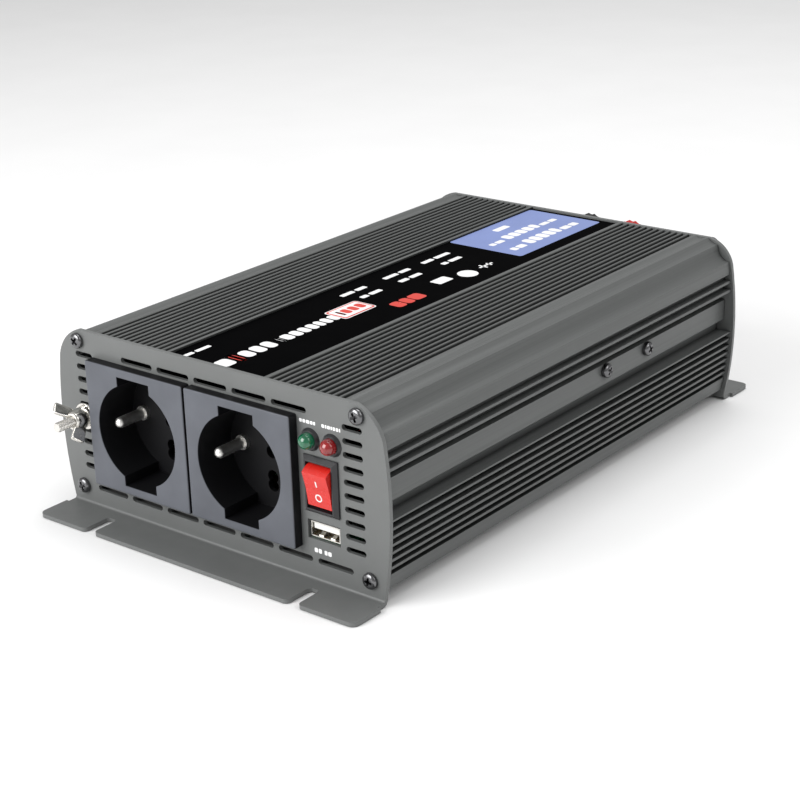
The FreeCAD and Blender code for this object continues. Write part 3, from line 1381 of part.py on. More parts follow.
def fan_rotor(front):
    """Rotor turning about Y: hub cap with a shaft, and straight pitched blades."""
    body = new_body("fan_rotor", ("fan_x", f"{front} + rotor_gap", "fan_level"))
    hub = new_sketch(body, "rotor_hub", "XZ")
    draw_circle(hub, "0", "0", "fan_hub_radius")
    pad(body, "rotor_hub_pad", hub, "rotor_deep", reverse=True)
    shaft = new_sketch(body, "rotor_shaft", "XZ")
    draw_circle(shaft, "0", "0", "fan_shaft_radius")
    pad(body, "rotor_shaft_pad", shaft, "rotor_shaft_length")
    blade = new_sketch(body, "rotor_blade", "XY", "fan_hub_radius - blade_root_in")
    draw_outline(blade, [
        ("-blade_lean_half", "blade_start"),
        ("-blade_lean_half + blade_chord_thick", "blade_start"),
        ("blade_lean_half", "blade_end"),
        ("blade_lean_half - blade_chord_thick", "blade_end"),
    ])
    reach = "fan_tip_radius - fan_hub_radius + blade_root_in - 2 * snap_gap"
    first = pad(body, "rotor_blade_pad", blade, reach)
    polar_pattern(body, "rotor_blades", first, "Y", 7)
    keep("fan_rotor", body)


def fan_guard():
    """Wire guard outside the rear panel, held by four screws at its eyes."""
    level = "(body_length / 2 + fan_wire / 2)"
    centre = ("fan_x", level, "fan_level")
    wire = "fan_wire / 2"
    radii = [f"guard_first_ring + {index} * guard_ring_pitch" for index in range(4)]
    pieces = [torus(f"guard_ring_{index}", radius, wire, centre, "y") for index, radius in enumerate(radii)]
    pieces.append(cylinder("guard_boss", "guard_boss_radius", "fan_wire",
                           ("fan_x", "body_length / 2", "fan_level"), "y"))
    span = "fan_hole_pitch * diagonal - 2 * (guard_eye_radius + fan_wire / 4)"
    reach = f"({span}) / diagonal / 2"
    for angle, lean in ((45, "-"), (135, "+")):
        spoke = DOC.addObject("Part::Cylinder", f"guard_spoke_{angle}")
        bind(spoke, Radius=wire, Height=span)
        turn = FreeCAD.Rotation(FreeCAD.Vector(0, 1, 0), angle)
        spoke.Placement = FreeCAD.Placement(FreeCAD.Vector(), turn)
        spoke.setExpression("Placement.Base.x", formula(f"fan_x - {reach}"))
        spoke.setExpression("Placement.Base.y", formula(level))
        spoke.setExpression("Placement.Base.z", formula(f"fan_level {lean} {reach}"))
        pieces.append(spoke)
    screws = []
    for x_sign in (RIGHT, LEFT):
        for z_sign in (RIGHT, LEFT):
            place = (f"fan_x + {x_sign} * fan_hole_pitch / 2", level,
                     f"fan_level + {z_sign} * fan_hole_pitch / 2")
            pieces.append(torus(f"guard_eye_{x_sign}_{z_sign}", "guard_eye_radius", wire, place, "y"))
            seat = (place[0], "body_length / 2 + fan_wire", place[2])
            screws.append(pan_screw(f"fan_screw_{x_sign}_{z_sign}", seat, "y", "fan_screw_radius",
                                    "screw_head_radius", "screw_head_height", "fan_screw_length"))
    keep("fan_guard", fuse("fan_guard", pieces))
    keep("fan_screws", group("fan_screws", screws))


# ---------------------------------------------------------------- electronics
def standoff_places():
    """Where the circuit board stands on the bottom cover: two rows of three."""
    first, span = "board_front + standoff_end_in", "(board_rear - board_front - 2 * standoff_end_in)"
    return [(f"{side} * (board_half - standoff_in)", f"{first} + {row} * {span} / 2")
            for side in (RIGHT, LEFT) for row in range(3)]


def circuit_board():
    board = box("board_plate", ("board_half * 2", "board_rear - board_front", "board_thick"),
                ("-board_half", "board_front", "board_level"))
    holes, pillars, screws = [], [], []
    base = "(cover_level + cover_thick)"
    for index, (x, y) in enumerate(standoff_places()):
        holes.append(cylinder(f"board_hole_{index}", "board_hole_radius", "board_thick + 2 * overshoot",
                              (x, y, "board_level - overshoot")))
        pillar = prism(f"standoff_{index}_hex", 6, "standoff_radius", f"board_level - {base}", (x, y, base))
        bore = cylinder(f"standoff_{index}_bore", "standoff_bore", "board_level",
                        (x, y, "cover_level - overshoot"))
        pillars.append(cut(f"standoff_{index}", pillar, [bore]))
        screws.append(pan_screw(f"board_screw_{index}", (x, y, BOARD_TOP), "z", "board_screw_radius",
                                "board_screw_head", "board_screw_head_height", "board_screw_length"))
    keep("main_board", cut("main_board", board, holes))
    keep("board_standoffs", group("board_standoffs", pillars))
    keep("board_screws", group("board_screws", screws))


def transformers():
    """Two ferrite shell cores with their coils round the middle leg."""
    cores, coils = [], []
    base = f"({BOARD_TOP} + core_gap)"
    middle = "(core_front + core_deep / 2)"
    window_base = f"({BOARD_TOP} + window_base)"
    coil_tall = "(window_tall - 2 * coil_clearance)"
    for index, side in enumerate((LEFT, RIGHT)):
        x = f"({side} * core_x)"
        core = box(f"core_{index}_block", ("core_wide", "core_deep", "core_tall"),
                   (f"{x} - core_wide / 2", "core_front", base))
        windows = [
            centred_box(f"core_{index}_window_{end}", ("window_wide", "core_deep + overshoot", "window_tall"),
                        (f"{x} + {end} * window_x", middle, f"{window_base} + window_tall / 2"))
            for end in (RIGHT, LEFT)
        ]
        cores.append(cut(f"core_{index}", core, windows))
        coil = centred_box(f"coil_{index}_block", ("coil_wide", "coil_deep", coil_tall),
                           (x, middle, f"{window_base} + window_tall / 2"))
        leg = centred_box(f"coil_{index}_leg", ("coil_leg_wide", "core_deep + 2 * coil_leg_gap",
                                                "window_tall + overshoot"),
                          (x, middle, f"{window_base} + window_tall / 2"))
        coils.append(cut(f"coil_{index}", coil, [leg]))
    keep("transformer_cores", group("transformer_cores", cores))
    keep("transformer_coils", group("transformer_coils", coils))


def capacitors():
    """A row of input capacitors by the battery terminals and two tall output capacitors."""
    for kind, count in (("input", 4), ("output", 2)):
        prefix = f"{kind}_capacitor"
        row = [cylinder(f"{prefix}_{index}", f"{prefix}_radius", f"{prefix}_tall",
                        (f"{prefix}_x + {index} * {prefix}_pitch", f"{prefix}_y", BOARD_TOP))
               for index in range(count)]
        keep(f"{prefix}s", group(f"{prefix}s", row))


def transistors(side, sign):
    """A row of four power transistors pressed on a side wall by a steel bar."""
    packages = []
    wall = f"{sign} * (cavity_half - package_wall_gap - package_thick / 2)"
    legs_x = f"{sign} * (cavity_half - package_wall_gap - package_thick + leg_thick / 2 - snap_gap / 2)"
    places = [f"clamp_screw_rear - {row} * clamp_screw_pitch + {end} * package_offset"
              for row in (1, 0) for end in (-1, 1)]
    for index, y in enumerate(places):
        body = centred_box(f"{side}_package_{index}", ("package_thick", "package_wide", "package_tall"),
                           (wall, y, "clamp_screw_level"))
        legs = [centred_box(f"{side}_package_{index}_leg_{pin}", ("leg_thick", "leg_wide", "leg_length"),
                            (legs_x, f"{y} + {pin} * leg_pitch", "clamp_screw_level - leg_drop"))
                for pin in (-1, 0, 1)]
        packages.append(fuse(f"{side}_transistor_{index}", [body] + legs))
    keep(f"transistors_{side}", group(f"transistors_{side}", packages))
    bar_face = "(cavity_half - package_wall_gap - package_thick - snap_gap / 2)"
    bar_x = f"({sign} * ({bar_face} - clamp_bar_thick / 2))"
    bar = centred_box(f"{side}_bar_block", ("clamp_bar_thick", "clamp_bar_length", "clamp_bar_tall"),
                      (bar_x, "clamp_screw_rear - clamp_screw_pitch / 2", "clamp_screw_level"))
    holes = [cylinder(f"{side}_bar_hole_{row}", "clamp_screw_radius", "clamp_bar_thick + 2 * overshoot",
                      (f"{bar_x} - clamp_bar_thick / 2 - overshoot",
                       f"clamp_screw_rear - {row} * clamp_screw_pitch", "clamp_screw_level"), "x")
             for row in (0, 1)]
    keep(f"clamp_bar_{side}", cut(f"clamp_bar_{side}", bar, holes))


def output_choke():
    """Toroid lying on the board with copper turns round it."""
    middle = f"{BOARD_TOP} + choke_rise"
    centre = ("choke_x", "choke_y", middle)
    keep("choke_core", torus("choke_ring", "choke_radius", "choke_section_radius", centre))
    turns = []
    turn_count = 12
    stand = FreeCAD.Rotation(FreeCAD.Vector(1, 0, 0), 90)
    for index in range(turn_count):
        angle = 360 / turn_count * index
        turn = DOC.addObject("Part::Torus", f"choke_turn_{index}")
        bind(turn, Radius1="turn_radius", Radius2="turn_wire_radius")
        spin = FreeCAD.Rotation(FreeCAD.Vector(0, 0, 1), angle)
        turn.Placement = FreeCAD.Placement(FreeCAD.Vector(), spin.multiply(stand))
        share_x, share_y = math.cos(math.radians(angle)), math.sin(math.radians(angle))
        turn.setExpression("Placement.Base.x", formula(f"choke_x + choke_radius * ({share_x:.4f})"))
        turn.setExpression("Placement.Base.y", formula(f"choke_y + choke_radius * ({share_y:.4f})"))
        turn.setExpression("Placement.Base.z", formula(middle))
        turns.append(turn)
    keep("choke_winding", group("choke_winding", turns))


def fuses():
    """Three blade fuses beside the positive terminal."""
    row = []
    blade_size = ("fuse_blade_thick", "fuse_blade_wide", "fuse_blade_tall")
    blade_level = f"{BOARD_TOP} + fuse_blade_tall / 2"
    for index in range(3):
        x = f"fuse_x + {index} * fuse_pitch"
        body = centred_box(f"fuse_{index}_body", ("fuse_thick", "fuse_wide", "fuse_tall"),
                           (x, "fuse_y", f"{BOARD_TOP} + fuse_rise"))
        blades = [centred_box(f"fuse_{index}_blade_{end}", blade_size,
                              (x, f"fuse_y + {end} * fuse_blade_offset", blade_level))
                  for end in (-1, 1)]
        row.append(fuse(f"blade_fuse_{index}", [body] + blades))
    keep("blade_fuses", group("blade_fuses", row))


def bus_bar(colour):
    """A bar that hangs on a stud, between the collar's sleeve and the inner nut, down to the board."""
    x = f"{colour}_post_x"
    face = "(body_length / 2 - post_sleeve_length - bar_clamp)"
    bar_top = "(post_level + bar_wide / 2)"
    upright = centred_box(f"{colour}_bar_upright", ("bar_wide", "bar_thick", f"{bar_top} - {BOARD_TOP}"),
                          (x, f"{face} - bar_thick / 2", f"({BOARD_TOP} + {bar_top}) / 2"))
    lying = centred_box(f"{colour}_bar_foot", ("bar_wide", "bar_foot_length", "bar_thick"),
                        (x, f"{face} - bar_foot_length / 2", f"{BOARD_TOP} + bar_thick / 2"))
    hole = cylinder(f"{colour}_bar_hole", "post_stud_radius", "bar_thick + 2 * overshoot",
                    (x, f"{face} - bar_thick - overshoot", "post_level"), "y")
    keep(f"{colour}_bus_bar", cut(f"{colour}_bus_bar", fuse(f"{colour}_bar_solid", [upright, lying]), [hole]))


# ---------------------------------------------------------------- assembly
def build():
    fill_sheet()
    front_panel()
    rear_panel()
    heatsink_housing()
    top_label()
    bottom_cover()
    panel_screws("front_panel_screws", -1)
    panel_screws("rear_panel_screws", 1)
    clamp_screws("clamp_screws_right", RIGHT)
    clamp_screws("clamp_screws_left", LEFT)
    socket("left", LEFT)
    socket("right", RIGHT)
    lights()
    switch()
    usb_port()
    earth_terminal()
    nuts = [battery_terminal(colour) for colour in ("red", "black")]
    keep("terminal_nuts", group("terminal_nuts", nuts))
    fan()
    circuit_board()
    transformers()
    capacitors()
    transistors("right", RIGHT)
    transistors("left", LEFT)
    output_choke()
    fuses()
    bus_bar("red")
    bus_bar("black")
    DOC.recompute()


def check_document():
    """Stop if any object failed to build or any sub-part isn't a valid shape."""
    for item in DOC.Objects:
        if "Invalid" in item.State or "Error" in item.State:
            raise RuntimeError(f"{item.Name} failed: {item.State}")
    for node, item in PARTS.items():
        if item.Shape.isNull() or not item.Shape.isValid():
            raise RuntimeError(f"{node} is not a valid shape")


def write_parts():
    os.makedirs("parts", exist_ok=True)
    for node, item in PARTS.items():
        item.Shape.exportStep(f"parts/{node}.step")
        print(f"{node:28s} {len(item.Shape.Solids):3d} solids {item.Shape.Volume / 1000:9.3f} cm3")
    print(len(PARTS), "sub-parts")


build()
check_document()
write_parts()
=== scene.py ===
"""The looks of a power inverter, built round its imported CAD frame.

Plain numbers for sizes and places are millimetres, and MM turns them into Blender's metres. The
lights, the floor and the camera's clipping are set in metres, and say so.
"""
import json
import math

import bmesh
import bpy
from mathutils import Matrix, Vector


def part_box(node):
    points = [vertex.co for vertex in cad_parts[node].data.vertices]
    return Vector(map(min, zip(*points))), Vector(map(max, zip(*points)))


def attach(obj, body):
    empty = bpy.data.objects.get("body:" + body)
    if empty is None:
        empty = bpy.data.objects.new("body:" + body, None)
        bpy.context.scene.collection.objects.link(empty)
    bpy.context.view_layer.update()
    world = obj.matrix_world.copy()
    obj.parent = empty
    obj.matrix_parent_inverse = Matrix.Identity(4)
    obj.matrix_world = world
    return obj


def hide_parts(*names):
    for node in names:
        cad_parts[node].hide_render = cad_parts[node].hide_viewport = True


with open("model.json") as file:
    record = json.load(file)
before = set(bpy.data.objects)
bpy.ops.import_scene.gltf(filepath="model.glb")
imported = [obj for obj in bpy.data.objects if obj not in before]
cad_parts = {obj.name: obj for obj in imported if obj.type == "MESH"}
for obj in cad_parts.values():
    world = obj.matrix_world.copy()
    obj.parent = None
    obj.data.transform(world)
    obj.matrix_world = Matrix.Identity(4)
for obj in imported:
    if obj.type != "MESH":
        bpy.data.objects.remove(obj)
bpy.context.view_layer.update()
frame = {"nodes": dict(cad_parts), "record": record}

MM = 0.001
NODES = frame["nodes"]

FACE = 117.0                        # outer face of each end panel, from the middle along Y
PANEL_SCREWS = ((67.0, 67.6), (70.4, 8.4))      # place across and level, upper and lower pair
CLAMP_FACE, CLAMP_LEVEL = 75.2, 42.4            # of the side rail that the clamp screws sit on
CLAMP_PLACES = (52.0, 22.0)                     # along Y
ROCKER_PIVOT = (-115.4, 38.3)                   # along Y and Z
ROCKER_REST = 12                                # degrees that its top stands out by at rest

OUT_OF_FRONT = (0, -1, 0)
SEAM = 0.0005                       # points nearer than this are one point
INK_HEIGHT = 0.05                   # how thick the print on the label is
PANEL_INK_HEIGHT = 0.04
NOISE_LOW, NOISE_HIGH = 0.3, 0.7    # most values of a noise texture lie between these
FIRST_COLOR, SECOND_COLOR, MIXED_COLOR = 6, 7, 2    # colour sockets of a mix node


# ---------------------------------------------------------------- materials
class Surface:
    """A Principled material whose colour, roughness and relief come from noise in object space."""

    def __init__(self, name, color, roughness, metallic=0.0, coat=0.0, ior=1.5):
        self.material = bpy.data.materials.new(name)
        self.material.use_nodes = True
        self.tree = self.material.node_tree
        self.shader = self.tree.nodes["Principled BSDF"]
        self.color = color
        self.roughness = roughness
        self.last_normal = None
        self.shader.inputs["Base Color"].default_value = (*color, 1)
        self.shader.inputs["Roughness"].default_value = roughness
        self.shader.inputs["Metallic"].default_value = metallic
        self.shader.inputs["IOR"].default_value = ior
        self.shader.inputs["Coat Weight"].default_value = coat
        self.shader.inputs["Coat Roughness"].default_value = 0.06
        self.place = self.tree.nodes.new("ShaderNodeTexCoord")

    def new(self, kind, **values):
        """A shader node, with values for its sockets or settings given by name."""
        item = self.tree.nodes.new(kind)
        for key, value in values.items():
            if key in item.inputs:
                item.inputs[key].default_value = value
            else:
                setattr(item, key, value)
        return item

    def link(self, out_socket, in_socket):
        """Join one socket to another."""
        self.tree.links.new(out_socket, in_socket)

    def noise(self, size, stretch=(1, 1, 1), detail=3.0, rough=0.55):
        """Noise with features of about a size in millimetres, drawn out along an axis by stretch."""
        mapping = self.new("ShaderNodeMapping")
        mapping.inputs["Scale"].default_value = [1 / s for s in stretch]
        self.link(self.place.outputs["Object"], mapping.inputs["Vector"])
        noise = self.new("ShaderNodeTexNoise")
        noise.inputs["Scale"].default_value = 1 / (size * MM)
        noise.inputs["Detail"].default_value = detail
        noise.inputs["Roughness"].default_value = rough
        self.link(mapping.outputs["Vector"], noise.inputs["Vector"])
        return noise.outputs["Fac"]

    def spread(self, factor, low, high, start=NOISE_LOW, stop=NOISE_HIGH):
        """Map a value between start and stop on to a range."""
        item = self.new("ShaderNodeMapRange")
        item.inputs["From Min"].default_value = start
        item.inputs["From Max"].default_value = stop
        item.inputs["To Min"].default_value = low
        item.inputs["To Max"].default_value = high
        self.link(factor, item.inputs["Value"])
        return item.outputs["Result"]

    def shade(self, factor, amount):
        """Vary the colour from darker to lighter by a noise value."""
        ramp = self.new("ShaderNodeValToRGB")
        low, high = ramp.color_ramp.elements
        low.position, high.position = NOISE_LOW, NOISE_HIGH
        low.color = (*[c * (1 - amount) for c in self.color], 1)
        high.color = (*[min(1, c * (1 + amount)) for c in self.color], 1)
        self.link(factor, ramp.inputs["Fac"])
        self.link(ramp.outputs["Color"], self.shader.inputs["Base Color"])
        return ramp.outputs["Color"]

    def color_mix(self, base, blend_type="MIX"):
        """A mix node that changes a base colour on its way to the shader."""
        mix = self.new("ShaderNodeMix", data_type="RGBA", blend_type=blend_type)
        self.link(base, mix.inputs[FIRST_COLOR])
        self.link(mix.outputs[MIXED_COLOR], self.shader.inputs["Base Color"])
        return mix

    def wear(self, base, factor, color, start, stop):
        """Blend towards another colour where a value is high."""
        mask = self.spread(factor, 0, 1, start, stop)
        mix = self.color_mix(base)
        self.link(mask, mix.inputs[0])
        mix.inputs[SECOND_COLOR].default_value = (*color, 1)
        return mix.outputs[MIXED_COLOR]

    def gloss(self, factor, amount):
        """Vary the roughness by a noise value."""
        low, high = max(0.02, self.roughness - amount), min(1, self.roughness + amount)
        self.link(self.spread(factor, low, high), self.shader.inputs["Roughness"])

    def relief(self, factor, depth, strength):
        """Relief of a depth in millimetres, on top of any before it."""
        bump = self.new("ShaderNodeBump")
        bump.inputs["Strength"].default_value = strength
        bump.inputs["Distance"].default_value = depth * MM
        self.link(factor, bump.inputs["Height"])
        if self.last_normal is not None:
            self.link(self.last_normal, bump.inputs["Normal"])
        self.last_normal = bump.outputs["Normal"]
        self.link(self.last_normal, self.shader.inputs["Normal"])

    def painted_crevice_shade(self, base, reach, darkest):
        """Painted shade: darken the colour where surfaces close in on each other within a reach in
        millimetres.
        """
        shut, clear = 0.35, 0.9     # share of open directions at full darkening and at none
        around = self.new("ShaderNodeAmbientOcclusion", samples=4)
        around.inputs["Distance"].default_value = reach * MM
        light = self.spread(around.outputs["AO"], darkest, 1, shut, clear)
        mix = self.color_mix(base, "MULTIPLY")
        mix.inputs[0].default_value = 1
        self.link(light, mix.inputs[SECOND_COLOR])

    def behind(self, base, level, width, color, rough_side):
        """Paint shade into the colour behind a level along Y, and change the roughness there, over a width,
        both in millimetres.
        """
        split = self.new("ShaderNodeSeparateXYZ")
        self.link(self.place.outputs["Object"], split.inputs["Vector"])
        mask = self.spread(split.outputs["Y"], 0, 1, level * MM, (level + width) * MM)
        mix = self.color_mix(base)
        self.link(mask, mix.inputs[0])
        mix.inputs[SECOND_COLOR].default_value = (*color, 1)
        rough = self.spread(mask, self.roughness, rough_side, 0, 1)
        self.link(rough, self.shader.inputs["Roughness"])

    def soft_edges(self, radius):
        """Catch light along sharp edges as a small rounding would."""
        bevel = self.new("ShaderNodeBevel", samples=4)
        bevel.inputs["Radius"].default_value = radius * MM
        self.last_normal = bevel.outputs["Normal"]
        self.link(self.last_normal, self.shader.inputs["Normal"])


def satin_paint(name, color, roughness=0.42):
    """Sprayed enamel: fine orange peel, a finer grain in the film and faint clouding."""
    s = Surface(name, color, roughness)
    s.soft_edges(0.25)
    s.shade(s.noise(26, detail=4), 0.045)
    s.gloss(s.noise(7, detail=3), 0.05)
    s.relief(s.noise(0.9, detail=2), 0.012, 0.5)
    s.relief(s.noise(0.25, detail=1), 0.004, 0.5)
    return s.material


def anodised(name, color):
    """Extruded aluminium, dark anodised: die lines run along its length, with shade painted dark into its
    grooves.
    """
    s = Surface(name, color, 0.38, metallic=0.3, ior=1.4)
    s.soft_edges(0.12)
    lines = s.noise(0.7, (1, 320, 1), detail=4, rough=0.7)
    shade = s.shade(lines, 0.10)
    rubbed = s.noise(2.2, (1, 14, 1), detail=6, rough=0.75)
    worn = s.wear(shade, rubbed, [c * 1.4 for c in color], 0.66, 0.82)
    # painted shade: the grooves between the fins are darkened in the colour
    s.painted_crevice_shade(worn, 2.6, 0.04)
    s.gloss(s.noise(1.4, (1, 90, 1), detail=3), 0.07)
    s.relief(s.noise(0.35, (1, 420, 1), detail=3), 0.012, 0.6)
    return s.material


def plastic(name, color, roughness, grain=0.35, depth=0.010, coat=0.0):
    """Moulded plastic with a spark-eroded grain."""
    s = Surface(name, color, roughness, coat=coat)
    s.soft_edges(0.15)
    s.shade(s.noise(12, detail=4), 0.05)
    s.gloss(s.noise(3, detail=3), 0.05)
    s.relief(s.noise(grain, detail=2), depth, 0.6)
    return s.material


def socket_plastic(name, color, roughness):
    """Moulded plastic with a clouded, glossier face, and painted shade: near black on its sides and in its
    recess.
    """
    s = Surface(name, color, roughness, ior=1.33)
    s.soft_edges(0.2)
    face = s.shade(s.noise(14, detail=4), 0.10)
    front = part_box("socket_left_faceplate")[0][1] / MM
    # painted shade: the sides and the recess behind the front face are coloured near black
    s.behind(face, front + 0.12, 0.3, (0.004, 0.004, 0.005), 0.55)
    s.relief(s.noise(0.3, detail=2), 0.008, 0.6)
    return s.material


def bare_metal(name, color, roughness, stretch=(1, 1, 1), size=0.5, wear_color=None):
    """Bare or plated metal: fine scratches, uneven brightness and a little tarnish."""
    s = Surface(name, color, roughness, metallic=1.0)
    shade = s.shade(s.noise(4.5, detail=5), 0.10)
    if wear_color:
        s.wear(shade, s.noise(2.4, detail=6, rough=0.7), wear_color, 0.62, 0.78)
    s.gloss(s.noise(1.6, stretch, detail=5, rough=0.65), 0.09)
    s.relief(s.noise(size, stretch, detail=3), 0.01, 0.5)
    return s.material


def gloss_film(name, color, roughness, ior=1.4):
    """Printed and varnished film: almost smooth, with faint ripples and hazy patches."""
    s = Surface(name, color, roughness, ior=ior)
    s.shade(s.noise(18, detail=3), 0.05)
    s.gloss(s.noise(9, detail=5), 0.035)
    s.relief(s.noise(2.4, detail=2), 0.003, 0.4)
    return s.material


def lens_plastic(name, color):
    """Tinted epoxy under a clear gloss, cloudy inside and letting a little light through."""
    s = Surface(name, color, 0.05, coat=1.0)
    s.shader.inputs["Coat Roughness"].default_value = 0.03
    s.shader.inputs["Transmission Weight"].default_value = 0.12
    s.shade(s.noise(2.6, detail=1), 0.35)
    s.relief(s.noise(2.5, detail=1), 0.004, 0.4)
    return s.material


def board_lacquer(name):
    """Solder-resist green with copper tracks showing through."""
    s = Surface(name, (0.012, 0.09, 0.035), 0.3, coat=0.4)
    base = s.shade(s.noise(9, detail=3), 0.2)
    s.wear(base, s.noise(1.6, (6, 1, 1), detail=2), (0.03, 0.2, 0.07), 0.55, 0.58)
    s.relief(s.noise(1.2, (6, 1, 1), detail=1), 0.02, 0.4)
    return s.material


def wound_copper(name):
    """Enamelled copper wire wound in close turns."""
    s = Surface(name, (0.62, 0.24, 0.09), 0.28, metallic=0.85)
    wave = s.new("ShaderNodeTexWave", wave_type="BANDS", bands_direction="Z")
    wave.inputs["Scale"].default_value = 1 / (1.1 * MM) / 6     # bands about 2 mm apart
    wave.inputs["Distortion"].default_value = 0.6
    s.link(s.place.outputs["Object"], wave.inputs["Vector"])
    s.shade(s.noise(4, detail=3), 0.18)
    s.relief(wave.outputs["Fac"], 0.25, 0.9)
    return s.material


PAINT = satin_paint("panel_paint", (0.132, 0.137, 0.135))
COVER_PAINT = satin_paint("cover_paint", (0.12, 0.12, 0.118), 0.5)
EXTRUSION = anodised("extrusion", (0.116, 0.121, 0.119))
LABEL_FILM = gloss_film("label_film", (0.0012, 0.0012, 0.0014), 0.5, ior=1.03)
BLUE_INK = gloss_film("blue_ink", (0.205, 0.26, 0.50), 0.35, ior=1.15)
WHITE_INK = gloss_film("white_ink", (0.82, 0.82, 0.82), 0.35)
RED_INK = gloss_film("red_ink", (0.62, 0.035, 0.02), 0.3)
SOCKET_BLACK = socket_plastic("socket_plastic_grain", (0.100, 0.106, 0.122), 0.3)
SWITCH_BLACK = plastic("switch_plastic_grain", (0.018, 0.018, 0.02), 0.32, 0.4, 0.008)
BLACK = plastic("black_plastic_grain", (0.016, 0.016, 0.017), 0.45)
ROCKER_RED = plastic("rocker_plastic", (0.60, 0.018, 0.012), 0.26, 0.8, 0.004, coat=0.2)
KNOB_RED = plastic("red_knob_plastic", (0.48, 0.015, 0.012), 0.38, 0.35, 0.008)
DARK_METAL = bare_metal("black_oxide_steel", (0.17, 0.17, 0.175), 0.2, size=0.4,
                        wear_color=(0.45, 0.45, 0.45))
NICKEL = bare_metal("bright_nickel", (0.74, 0.72, 0.68), 0.2, size=0.6,
                    wear_color=(0.55, 0.52, 0.46))
STEEL = bare_metal("plain_steel", (0.52, 0.52, 0.51), 0.32)
BRASS = bare_metal("brass_metal", (0.72, 0.50, 0.20), 0.26, wear_color=(0.5, 0.33, 0.13))
COPPER = wound_copper("wound_copper")
BUS_COPPER = bare_metal("bus_copper", (0.76, 0.36, 0.2), 0.3, (1, 8, 1),
                        wear_color=(0.45, 0.2, 0.12))
GREEN_LENS = lens_plastic("green_lens_epoxy", (0.0, 0.135, 0.055))
RED_LENS = lens_plastic("red_lens_epoxy", (0.30, 0.001, 0.003))
WHITE = plastic("white_plastic_grain", (0.8, 0.8, 0.77), 0.35, 0.5, 0.006)
BOARD = board_lacquer("board_lacquer")
FERRITE = plastic("sintered_ferrite", (0.05, 0.05, 0.052), 0.6, 0.5, 0.02)
SLEEVE = plastic("capacitor_sleeve", (0.012, 0.02, 0.05), 0.2, 2.0, 0.004, coat=0.4)
FUSE_RED = plastic("fuse_plastic", (0.6, 0.03, 0.02), 0.25, 1.0, 0.003)
PIN_NICKEL = bare_metal("satin_nickel", (0.84, 0.83, 0.80), 0.38)
# Brass darkened almost to black: painted shade on the contacts deep in the socket holes.
PAINTED_SHADE_BRASS = bare_metal("painted_shade_brass", (0.05, 0.04, 0.025), 0.5)

BY_SLOT = {
    "housing": EXTRUSION, "panel": PAINT, "cover": COVER_PAINT, "dark_screw": DARK_METAL,
    "plated": NICKEL, "steel": STEEL, "label": LABEL_FILM, "socket_plastic": SOCKET_BLACK,
    "black_plastic": BLACK, "red_plastic": ROCKER_RED, "red_knob": KNOB_RED,
    "green_lens": GREEN_LENS, "red_lens": RED_LENS, "white_plastic": WHITE, "brass": BRASS,
    "board": BOARD, "ferrite": FERRITE, "copper": BUS_COPPER, "capacitor": SLEEVE,
}
OWN_FINISH = {
    # The socket contacts take the darkened brass, as painted shade in their holes.
    "socket_left_contacts": PAINTED_SHADE_BRASS, "socket_right_contacts": PAINTED_SHADE_BRASS,
    "socket_left_earth_pin": PIN_NICKEL, "socket_right_earth_pin": PIN_NICKEL,
    "switch_housing": SWITCH_BLACK, "blade_fuses": FUSE_RED, "choke_winding": COPPER,
    "transformer_coils": COPPER, "light_bezels": SWITCH_BLACK,
}


def paint_nodes():
    """Give every CAD node the finish of its material slot, or its own."""
    for part in frame["record"]["subparts"]:
        finish = OWN_FINISH.get(part["node"], BY_SLOT[part["material_slot"]])
        for slot in NODES[part["node"]].material_slots:
            slot.material = finish


# ---------------------------------------------------------------- mesh helpers
def add_piece(name, mesh_data, material, body, smooth_angle=35):
    """A finished piece from geometry in millimetres: smooth within an angle, riding on a body."""
    bmesh.ops.remove_doubles(mesh_data, verts=mesh_data.verts, dist=SEAM)
    bmesh.ops.recalc_face_normals(mesh_data, faces=mesh_data.faces)
    bmesh.ops.scale(mesh_data, vec=(MM, MM, MM), verts=mesh_data.verts)
    mesh = bpy.data.meshes.new(name)
    mesh_data.to_mesh(mesh)
    mesh_data.free()
    item = bpy.data.objects.new(name, mesh)
    bpy.context.scene.collection.objects.link(item)
    mesh.materials.append(material)
    mesh.shade_smooth()
    mesh.set_sharp_from_angle(angle=math.radians(smooth_angle))
    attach(item, body)
    return item


def add_lathe(mesh_data, profile, matrix, segments=48):
    """Revolve (radius, height) points about the local Z axis. A radius of 0 closes the end."""
    rings = []
    for radius, height in profile:
        if radius == 0:
            rings.append([mesh_data.verts.new(matrix @ Vector((0, 0, height)))])
            continue
        ring = []
        for step in range(segments):
            angle = 2 * math.pi * step / segments
            point = Vector((radius * math.cos(angle), radius * math.sin(angle), height))
            ring.append(mesh_data.verts.new(matrix @ point))
        rings.append(ring)
    for low, high in zip(rings, rings[1:]):
        join_rings(mesh_data, low, high)


def join_rings(mesh_data, low, high):
    """Faces between two rings of points, or between a ring and a single point."""
    count = max(len(low), len(high))
    for step in range(count):
        following = (step + 1) % count
        if len(low) == 1:
            mesh_data.faces.new((low[0], high[following], high[step]))
        elif len(high) == 1:
            mesh_data.faces.new((low[step], low[following], high[0]))
        else:
            mesh_data.faces.new((low[step], low[following], high[following], high[step]))


def close_tube(mesh_data, rings):
    """Faces between rings that follow each other, and over both ends."""
    for low, high in zip(rings, rings[1:]):
        join_rings(mesh_data, low, high)
    mesh_data.faces.new(rings[0][::-1])
    mesh_data.faces.new(rings[-1])


